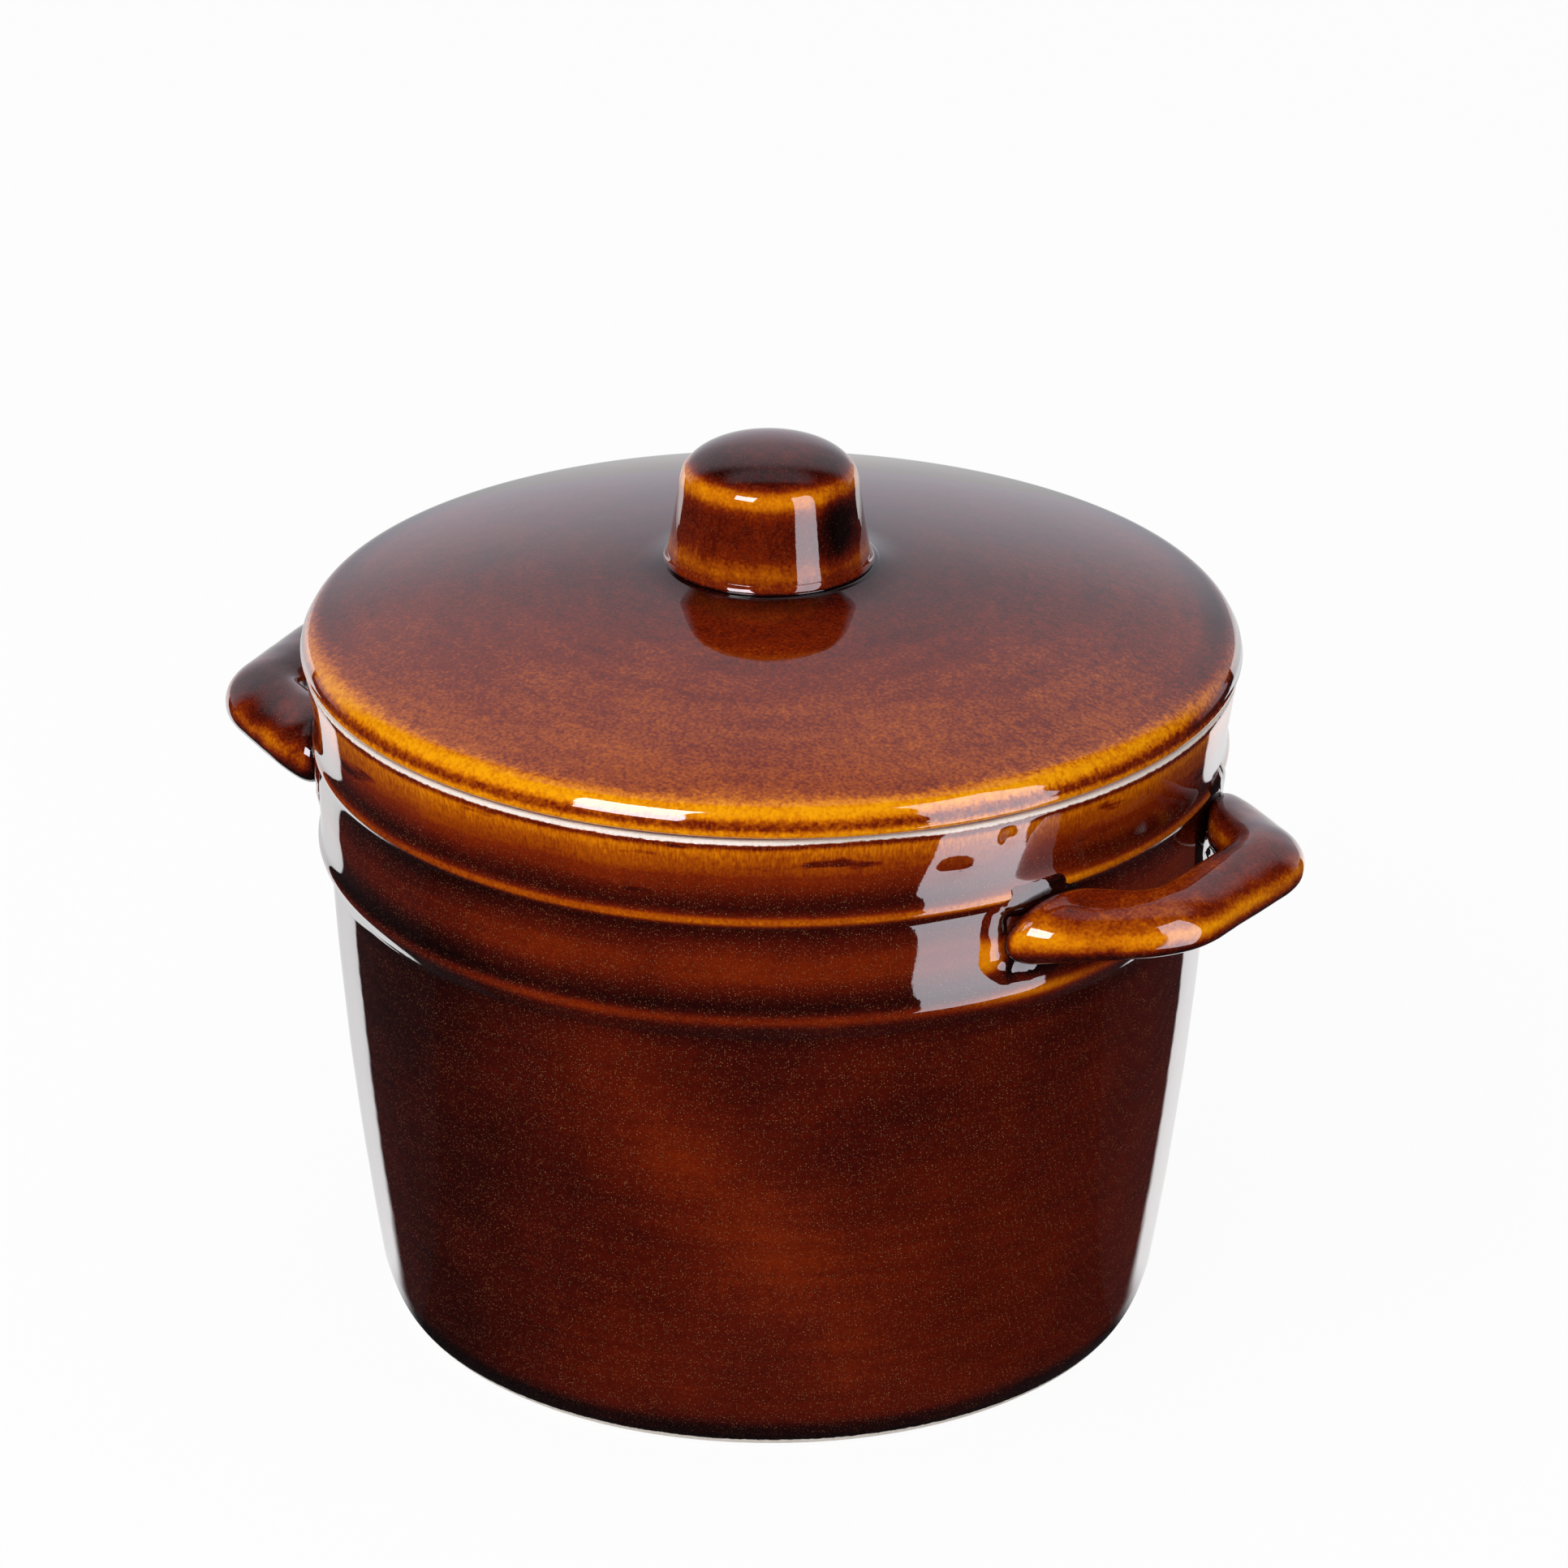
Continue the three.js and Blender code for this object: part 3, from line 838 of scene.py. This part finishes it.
def press_wall(piece):
    """Pushes the wall in by a millimetre where a hand held the soft pot below its rim."""
    for vertex in piece.data.vertices:
        level = Vector((vertex.co.x, vertex.co.y, 0))
        degrees = math.degrees(math.atan2(level.y, level.x))
        z = vertex.co.z / MM
        held = eased(degrees, *PRESS_START) * (1 - eased(degrees, *PRESS_END))
        upward = eased(z, PRESS_FOOT[1], PRESS_TOP)
        depth = held * eased(z, *PRESS_FOOT) * (PRESS_LEAST + upward * PRESS_MORE)
        vertex.co -= level.normalized() * depth * MM


pot = turned_piece("thrown_pot", pot_rows, wobble=0.18, material=pot_glaze)
press_wall(pot)
keep(pot, "crock", "pot_glaze", "crock_body")

# %% [markdown]
# ## The lid
#
# The lid is a shallow dome with a rounded edge. A flange below it drops into the pot, and the seat on
# the rim is bare. Round the knob the clay was drawn up into a soft collar when the knob was luted on.

# %% Outline of the lid
DOME_RADIUS = 345
SHOULDER = (95.9, 155.2)
COLLAR_WIDTH = 8
KNOB_SEAT = KNOB_FOOT - 1.8
FLANGE_RADIUS = 86.5
FLANGE_INNER = 80.5
FLANGE_FOOT = SEAT_HEIGHT - 8
FLANGE_BEND = 1.5
SEAT_EDGE = (97.8, SEAT_HEIGHT)
LID_THICKNESS = 8
UNDER_EDGE = 77
UNDER_STEP = 2.5
VENT_RADIUS = 2
EDGE_POINTS = (
    SHOULDER, (97, 154.6), (98, 153.65), (98.65, 152.6), (99.2, 151.6), (99.38, 150.9), (99.42, 150.4),
    (LID_RADIUS, 149.8), (99.4, 149.1), (98.6, 148.5), SEAT_EDGE,
)


def dome(radius):
    """The height of a plain dome that ends at the shoulder."""
    shoulder_drop = math.sqrt(DOME_RADIUS**2 - SHOULDER[0] ** 2)
    return SHOULDER[1] + math.sqrt(DOME_RADIUS**2 - radius**2) - shoulder_drop


def collar(radius):
    """The dome with the clay drawn up towards the knob."""
    near = max(0.0, 1 - (radius - KNOB_RADIUS) / COLLAR_WIDTH)
    return dome(radius) + (KNOB_SEAT - dome(KNOB_RADIUS)) * near**2.6


knob_seat = [(VENT_RADIUS, KNOB_SEAT), (10, KNOB_SEAT), (KNOB_RADIUS - 2, KNOB_SEAT)]
lip_start = KNOB_RADIUS + 0.7
collar_line = [(lip_start + i * 0.4, collar(lip_start + i * 0.4)) for i in range(22)]
first = collar_line[-1][0]
dome_radii = [first + (SHOULDER[0] - first) * i / 60 for i in range(1, 61)]
dome_line = [(radius, collar(radius)) for radius in dome_radii]
edge_line = smooth_line(EDGE_POINTS, 6)[1:]
flange_side = (FLANGE_RADIUS, FLANGE_FOOT + FLANGE_BEND)
outer_foot = (FLANGE_RADIUS - FLANGE_BEND, FLANGE_FOOT)
inner_foot = (FLANGE_INNER + FLANGE_BEND, FLANGE_FOOT)
inner_side = (FLANGE_INNER, FLANGE_FOOT + FLANGE_BEND)
seat_line = finer([SEAT_EDGE, (FLANGE_RADIUS, SEAT_HEIGHT), flange_side], 2)[1:]
flange_line = bend(flange_side, (FLANGE_RADIUS, FLANGE_FOOT), outer_foot, 5)[1:]
flange_line += bend(inner_foot, (FLANGE_INNER, FLANGE_FOOT), inner_side, 5)
under_top = dome(FLANGE_INNER) - LID_THICKNESS
under_radii = [UNDER_EDGE - i * UNDER_STEP for i in range(31)]
under_dome = [(radius, dome(radius) - LID_THICKNESS) for radius in under_radii]
under_line = bend((FLANGE_INNER, under_top - 3), (FLANGE_INNER, under_top), under_dome[0], 6)
under_line += under_dome[1:]
print("lid points:", len(collar_line) + len(dome_line) + len(edge_line) + len(under_line))

# %% [markdown]
# On the dome the glaze is a mottled red-brown. It thins to bright amber over the shoulder, gathers in a
# dark line on the edge and thins again on the lip.

# %% Glaze on the lid
DOME_THIN = (
    (22, 0.06), (22.6, 0.16), (24, 0.27), (28, 0.37), (36, 0.43), (60, 0.5), (80, 0.53), (92, 0.55),
    (94, 0.58), (95.2, 0.65), (96, 0.75),
)
EDGE_THIN = (
    (148.3, 0.6), (148.8, 0.75), (149.3, 0.86), (149.8, 0.82), (150.3, 0.66), (150.7, 0.54), (151.2, 0.5),
    (151.8, 0.55), (152.4, 0.72), (152.9, 0.86), (153.4, 0.93), (154.1, 0.93), (154.7, 0.86), (155.2, 0.74),
)
POOLED = 0.05

lid_rows = [(r, z, 0.2, BARE) for r, z in knob_seat]
lid_rows += [(KNOB_RADIUS + step, KNOB_SEAT, POOLED, FAR) for step in (-0.8, 0.5)]
lid_rows += [(r, z, between(r, DOME_THIN), FAR) for r, z in collar_line + dome_line]
lid_rows += [(r, z, between(z, EDGE_THIN), FAR) for r, z in edge_line]
lid_rows += [(r, z, 0.5, BARE) for r, z in seat_line + flange_line]
lid_rows += [(r, z, 0.4, min(FAR, FLANGE_INNER - r - 0.5)) for r, z in under_line]
lid_rows += [(VENT_RADIUS, KNOB_SEAT, 0.2, BARE)]


def lid_patches(start, place):
    """Painted shade at the back of the lid and along the back of its edge, and glaze brushed round."""
    flat = place.vector("MULTIPLY", place, (1, 1, 0))
    radius = flat.vector("LENGTH", flat, output=1)
    behind = place.along(tuple(BEHIND))
    aside = place.along(tuple(RIGHT))
    # painted shade: the back of the lid and the back of its edge are made darker, away from the camera
    painted_back_shade = behind.rise(-0.075, 0.05) * -0.24 - behind.rise(0.03, 0.085) * 0.1 + 0.03
    painted_edge_shade = radius.rise(0.089, 0.097) * (behind + aside * 0.2).rise(-0.06, 0.03) * -0.38
    turned_place = start.node("ShaderNodeCombineXYZ", None, {0: radius, 1: round_angle(place) * 0.014})
    brushed = start.cloud(turned_place, 170, 4) * 0.2
    crazed = start.cloud(place, 170, 3, (1, 1.6, 1)).bell(0.0, 0.02) * aside.rise(0.02, 0.06) * -0.09
    mottled = start.cloud(place, 800, 3) * radius.rise(0.091, 0.095) * 0.4
    return painted_back_shade + painted_edge_shade + brushed + crazed + mottled


lid_glaze = glaze("lid_glaze", mottle=0.16, grain=0.46, specks=0.25, patches=lid_patches)
lid = turned_piece("domed_lid", lid_rows, wobble=0.12, material=lid_glaze)
keep(lid, "lid", "lid_glaze", "lid_plate")

# %% [markdown]
# ## The knob and the slip under it
#
# The knob is a hollow truncated cone that was turned on its own and luted to the lid with slip, which
# is clay thinned with water. Its edges are where the glaze is thinnest, so they are amber. The slip was
# wiped flush with the knob, so that only a dark line of pooled glaze shows below it.

# %% Knob and slip ring
KNOB_OFFSET = -0.7  # to the right, seen from the camera
HOLLOW_TOP = KNOB_TOP - 9
CROWN_TOP = KNOB_TOP + 1.25
EDGE_HEIGHT = CROWN_TOP - 5.1
EDGE_RADIUS = 17.4
KNOB_THIN = (
    (-2, 0.45), (0.5, 0.55), (2, 0.68), (3.6, 0.6), (5.5, 0.46), (8, 0.4), (12, 0.39), (13.8, 0.43),
    (15.4, 0.56), (16.8, 0.82), (18.2, 0.84), (19.6, 0.64),
)
CROWN_THIN = ((0, 0.3), (8, 0.28), (12.5, 0.18), (15, 0.2), (16.4, 0.38), (17.4, 0.66))
RING_INNER = 15.5
RING_THIN = ((0.35, 0.1), (0.7, 0.45), (1.7, 0.52))

knob_inside = [(0, HOLLOW_TOP), (10, HOLLOW_TOP), (14.8, KNOB_FOOT), (20.4, KNOB_FOOT)]
knob_side = [(21.3, KNOB_FOOT)]
knob_side += bend((21.4, KNOB_FOOT + 0.1), (20.7, KNOB_FOOT + 3), (19.1, EDGE_HEIGHT - 4.6), 24)
knob_side += bend(knob_side[-1], (18.6, EDGE_HEIGHT - 0.9), (EDGE_RADIUS, EDGE_HEIGHT), 12)[1:]
knob_crown = bend(knob_side[-1], (13.2, CROWN_TOP), (0, CROWN_TOP), 20)[1:]
knob_rows = [(r, z, 0.3, BARE) for r, z in knob_inside]
knob_rows += [(r, z, between(z - KNOB_FOOT, KNOB_THIN), FAR) for r, z in knob_side]
knob_rows += [(r, z, between(r, CROWN_THIN), FAR) for r, z in knob_crown]


def knob_patches(start, place):
    """Painted shade down the right side, and soft streaks all round."""
    aside = place.along(tuple(RIGHT))
    z = place.part(2)
    # painted shade: a dark stripe down the knob's right side, as seen from the camera
    run = aside.bell(0.0138, 0.0036) * z.bell(0.181, 0.008) * 0.5
    return start.cloud(place, 400, 3, (1, 1, 0.4)) * 0.25 - run


knob_glaze = glaze("knob_glaze", mottle=0.14, grain=0.36, specks=0.5, patches=knob_patches)
knob = turned_piece("lid_knob_turned", knob_rows, wobble=0.1, material=knob_glaze)

ring_low, ring_high = KNOB_SEAT + 0.05, KNOB_FOOT + 0.2
ring_side = bend((22.3, ring_low + 0.35), (21.8, ring_low + 0.7), (21.44, ring_high - 0.05), 8)
ring_rows = [(RING_INNER, ring_low, POOLED, FAR), (22, ring_low, POOLED, FAR)]
ring_rows += [(r, z, between(z - ring_low, RING_THIN), FAR) for r, z in ring_side]
ring_rows += [(21.42, ring_high - 0.02, 0.5, FAR), (21.3, ring_high, 0.5, FAR)]
ring_rows += [(RING_INNER, z, POOLED, FAR) for z in (ring_high, ring_low)]
knob_ring = turned_piece("knob_slip", ring_rows, wobble=0.1, material=knob_glaze)
for piece in (knob, knob_ring):
    piece.data.transform(Matrix.Translation(RIGHT * KNOB_OFFSET * MM))
keep(knob, "lid", "lid_glaze", "lid_knob")
keep(knob_ring, "lid", "slip", "knob_slip_ring")

# %% [markdown]
# ## The handles
#
# Each handle is a strap of clay that was pulled by hand, bent into a flat loop and pressed onto the
# wall. Its sizes were read off the photograph.

# %% Sizes of a handle
BAND_RADIUS = 96.2
GRIP_WIDTH = 16.4
GRIP_HEIGHT = 10.8
GRIP_MIDDLE = 114.7
GRIP_LENGTH = 38.4
ROOT_SPREAD = 67
ROOT_DEPTH = 5
ROOT_STUB = 2.6
ROOT_FLARE = 2.6
HANDLE_HEIGHT = 121.4
HANDLE_RISE = 0.085
HANDLE_TURN = math.radians(5.15)
ROOT_WALL = math.sqrt(BAND_RADIUS**2 - (ROOT_SPREAD / 2) ** 2)
BEND_INSIDE = 6

strap_sizes = {
    "Width": GRIP_WIDTH * MM,
    "Height": GRIP_HEIGHT * MM,
    "Squareness": 2.2,
    "Root Flare": ROOT_FLARE * MM,
    "End Round": 5 * MM,
    "Rise": HANDLE_RISE,
    "Roll": -0.22,
    "Wall Radius": BAND_RADIUS * MM,
    "Middle Height": HANDLE_HEIGHT * MM,
    "Lumps": 0.6 * MM,
}
print("strap of", GRIP_WIDTH, "by", GRIP_HEIGHT, "mm")

# %% [markdown]
# A second tree sweeps a soft, squarish section along a path. From the distance to the wall it works
# out how far the strap spreads at its roots and how its very end is rounded off, and from the
# direction of the surface how thin the glaze is.

# %% The strap tree
strap, given = new_tree("strap", Geometry=["Path"], Float=strap_sizes, Material=["Material"])
path = given["Path"].node("GeometryNodeMeshToCurve", None, {0: given["Path"]})
path = path.node("GeometryNodeSetCurveNormal", {"mode": "Z_UP"}, {0: path})
section = path.node("GeometryNodeCurvePrimitiveCircle", None, {"Resolution": 72, "Radius": 1.0})
here = path.node("GeometryNodeInputPosition")


def squarish(value, size):
    """One coordinate of a circle, pushed out towards a square."""
    pushed = value.math("POWER", value.math("ABSOLUTE"), 2 / given["Squareness"])
    return value.math("SIGN") * pushed * size / 2


across = squarish(here.part(0), given["Width"])
upright = squarish(here.part(1), given["Height"])
soft_square = path.node("ShaderNodeCombineXYZ", None, {0: across, 1: upright + across * given["Roll"]})
section = path.node("GeometryNodeSetPosition", None, {0: section, "Position": soft_square})
sweep = {"Curve": path, "Profile Curve": section, "Fill Caps": True}
shape = path.node("GeometryNodeCurveToMesh", None, sweep)
x, y, z = (here.part(axis) for axis in range(3))
wall_gap = (x * x + y * y).math("SQRT") - given["Wall Radius"]
flare = 1 + (1 - wall_gap.rise(0.0, 0.011)) * given["Root Flare"] / given["Height"]
height = given["Middle Height"] + z * flare + (x - given["Wall Radius"]) * given["Rise"]
spread = path.node("ShaderNodeCombineXYZ", None, {0: x, 1: y, 2: height})
shape = path.node("GeometryNodeSetPosition", None, {0: shape, "Position": spread})
facing = path.node("GeometryNodeInputNormal")
near_end = 1 - wall_gap / given["End Round"]
near_end = near_end.math("MAXIMUM", near_end.math("MINIMUM", near_end, 1.0), 0.0)
pinch = (1 - (1 - near_end * near_end).math("SQRT")) * given["End Round"] * 0.6
lump = path.cloud(here, 55, 2) * given["Lumps"]
shape = path.node("GeometryNodeSetPosition", None, {0: shape, "Offset": facing.scaled(lump - pinch)})
up = facing.part(2)
thin = 0.46 + up.bell(0.3, 0.4) * 0.37 - (up * -1).rise(-0.1, 0.7) * 0.34
thin = thin * (0.08 + wall_gap.rise(0.0004, 0.0036) * 0.92)
shape = with_number(with_number(shape, "thin", thin), "glaze_line", FAR)
shape = path.node("GeometryNodeMergeByDistance", None, {0: shape, "Distance": MERGE_DISTANCE})
end_tree(strap, shape, given["Material"])
print("strap tree with", len(strap.nodes), "nodes")

# %% [markdown]
# The path lies flat: out from the wall, round an elbow, along the grip and back. Its ends reach a few
# millimetres into the wall, where the joint hides them.

# %% Both handles
def strap_path():
    """The path from one end in the wall to the other, seen from above."""
    half = ROOT_SPREAD / 2
    corners = [(ROOT_WALL - ROOT_DEPTH, half), (ROOT_WALL + ROOT_STUB, half)]
    corners += [(GRIP_MIDDLE, GRIP_LENGTH / 2)]
    corners += [(x, -y) for x, y in reversed(corners)]
    points = [corners[0]]
    for back, corner, ahead in zip(corners, corners[1:], corners[2:]):
        to_back = Vector(back) - Vector(corner)
        to_ahead = Vector(ahead) - Vector(corner)
        run = (GRIP_WIDTH / 2 + BEND_INSIDE) * math.tan((math.pi - to_back.angle(to_ahead)) / 2)
        start = Vector(corner) + to_back.normalized() * run
        end = Vector(corner) + to_ahead.normalized() * run
        points += bend(start, corner, end, 12)
    return finer(points + [corners[-1]], 0.8)


def handle_patches(start, place):
    """Runs along the straps, which are darker towards their rear ends and on the left handle."""
    runs = start.cloud(place, 150, 4, (1, 0.5, 1.5)) * 0.6
    far = place.part(1).rise(-0.026, 0.004) * 0.12
    return runs - far - (1 - place.part(0).rise(-0.05, 0.05)) * 0.2


handle_glaze = glaze("handle_glaze", mottle=0.24, grain=0.4, specks=0.6, patches=handle_patches)
handle_turns = {"right": -HANDLE_TURN, "left": math.pi + HANDLE_TURN}
for side, side_turn in handle_turns.items():
    source = line_object(side + "_handle_strap", [(x, y, 0) for x, y in strap_path()], {})
    handle = run_tree(source, strap, {**strap_sizes, "Material": handle_glaze})
    handle.data.transform(Matrix.Rotation(side_turn, 4, "Z"))
    keep(handle, "crock", "handle_glaze", "handle_" + side)

# %% [markdown]
# ## The slip at the handles
#
# A coil of slip is pressed round each end of a handle to lute it to the wall. The third tree takes the
# outline of the strap's end, shoots it onto the pot with Raycast, and sweeps a round coil along it.
# Most of the coil is sunk in the wall, so that only a low welt shows, and it gets thicker and thinner
# as it does when it is pushed on with a finger. The glaze pools black between the welt and the strap,
# and thins on the welt's outer side and on the blob of slip that was squeezed out at its lower corner.

# %% The slip tree
slip_coil, given = new_tree(
    "slip_coil",
    Geometry=["Outline"],
    Object=["Wall"],
    Vector=["Aim", "Middle", "Blob"],
    Float=["Coil Radius", "Sink"],
    Material=["Material"],
)
outline = given["Outline"]
relative = {"transform_space": "RELATIVE"}
wall_shape = outline.node("GeometryNodeObjectInfo", relative, {0: given["Wall"]}, "Geometry")
shot = {"Target Geometry": wall_shape, "Ray Direction": given["Aim"], "Ray Length": 0.2}
landing = outline.node("GeometryNodeRaycast", None, shot, "Hit Position")
level = landing.vector("MULTIPLY", landing, (1, 1, 0))
inward = landing.vector("NORMALIZE", level).scaled(given["Sink"])
sunk = landing.vector("SUBTRACT", landing, inward)
outline = outline.node("GeometryNodeSetPosition", None, {0: outline, "Position": sunk})
coil_path = outline.node("GeometryNodeMeshToCurve", None, {0: outline})
round_size = {"Resolution": 32, "Radius": given["Coil Radius"]}
round_section = outline.node("GeometryNodeCurvePrimitiveCircle", None, round_size)
here = outline.node("GeometryNodeInputPosition")
away = here.vector("SUBTRACT", here, given["Middle"])
depth = away.along(given["Aim"])
away = away.vector("NORMALIZE", away.vector("SUBTRACT", away, given["Aim"].scaled(depth)))
blob = away.along(given["Blob"]).rise(0.88, 1.0)
press = 1 + outline.cloud(here, 70, 2) * 0.16 + blob * 0.03
sweep = {"Curve": coil_path, "Profile Curve": round_section, "Scale": press}
shape = outline.node("GeometryNodeCurveToMesh", None, sweep)
facing = outline.node("GeometryNodeInputNormal")
lump = outline.cloud(here, 300, 3) * given["Coil Radius"] * 0.17
shape = outline.node("GeometryNodeSetPosition", None, {0: shape, "Offset": facing.scaled(lump)})
outer_side = facing.along(away)
thin = 0.04 + outer_side.rise(0.2, 0.5) * 0.26 + outline.cloud(here, 160, 2) * 0.2 + blob * 0.5
shape = with_number(with_number(shape, "thin", thin), "glaze_line", FAR)
end_tree(slip_coil, shape, given["Material"])
print("slip tree with", len(slip_coil.nodes), "nodes")

# %% [markdown]
# The outline of a strap's end is a rounded rectangle, drawn in the air in front of the wall. There are
# four ends, and the left handle is turned half way round, so its front end is the other end of the
# path.

# %% Four coils of slip
COIL_RADIUS = 6
COIL_SINK = 5.1
COIL_SPREAD = 0.6
COIL_SAG = 1.6
COIL_CORNER = 5
OUTLINE_REACH = 130
BLOB_SIDE = Vector((0, -0.96, -0.28))


def root_outline(middle_y):
    """The outline of a strap's end, in front of the wall."""
    half_width = GRIP_WIDTH / 2 + COIL_SPREAD
    half_height = (GRIP_HEIGHT + ROOT_FLARE + COIL_SAG) / 2 + COIL_SPREAD
    middle_z = HANDLE_HEIGHT + HANDLE_RISE * (ROOT_WALL - BAND_RADIUS) - COIL_SAG / 2
    points = []
    for i in range(4):
        heading = math.pi / 2 * i
        sign_y = 1 if i in (0, 3) else -1
        sign_z = 1 if i in (0, 1) else -1
        for j in range(9):
            angle = heading + math.pi / 2 * j / 8
            y = sign_y * (half_width - COIL_CORNER) + COIL_CORNER * math.cos(angle)
            z = sign_z * (half_height - COIL_CORNER) + COIL_CORNER * math.sin(angle)
            points.append((OUTLINE_REACH, middle_y + y, middle_z + z))
    return finer(points + points[:1], 0.8)[:-1]


slip_glaze = glaze("slip_glaze", mottle=0.3, grain=0.25, specks=0.5)
for side, side_turn in handle_turns.items():
    facing_wall = Matrix.Rotation(side_turn, 3, "Z")
    for end in ("front", "rear"):
        at_start = (end == "rear") == (side == "right")
        blob_side = BLOB_SIDE if (side, end) == ("right", "front") else Vector()
        outline_points = root_outline(ROOT_SPREAD / 2 if at_start else -ROOT_SPREAD / 2)
        placed = [facing_wall @ Vector(point) for point in outline_points]
        source = line_object(f"{side}_{end}_slip_coil", placed, {}, closed=True)
        coil = run_tree(source, slip_coil, {
            "Wall": pot,
            "Aim": facing_wall @ Vector((-1, 0, 0)),
            "Middle": sum(placed, Vector()) / len(placed) * MM,
            "Blob": facing_wall @ blob_side,
            "Coil Radius": COIL_RADIUS * MM,
            "Sink": COIL_SINK * MM,
            "Material": slip_glaze,
        })
        keep(coil, "crock", "slip", f"handle_{side}_{end}_slip")

# %% [markdown]
# ## Sizes, and the end
#
# The last cell writes the box of the solids and the box of the dressed crock side by side. They should
# agree to within a millimetre or two, because a finish does not change the size of a pot.

# %% Compare the boxes
scene_box = [list(corner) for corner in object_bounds()]
for label, (low, high) in {"solids": cad_box, "dressed": scene_box}.items():
    print(label, [round((b - a) / MM, 1) for a, b in zip(low, high)], "mm")
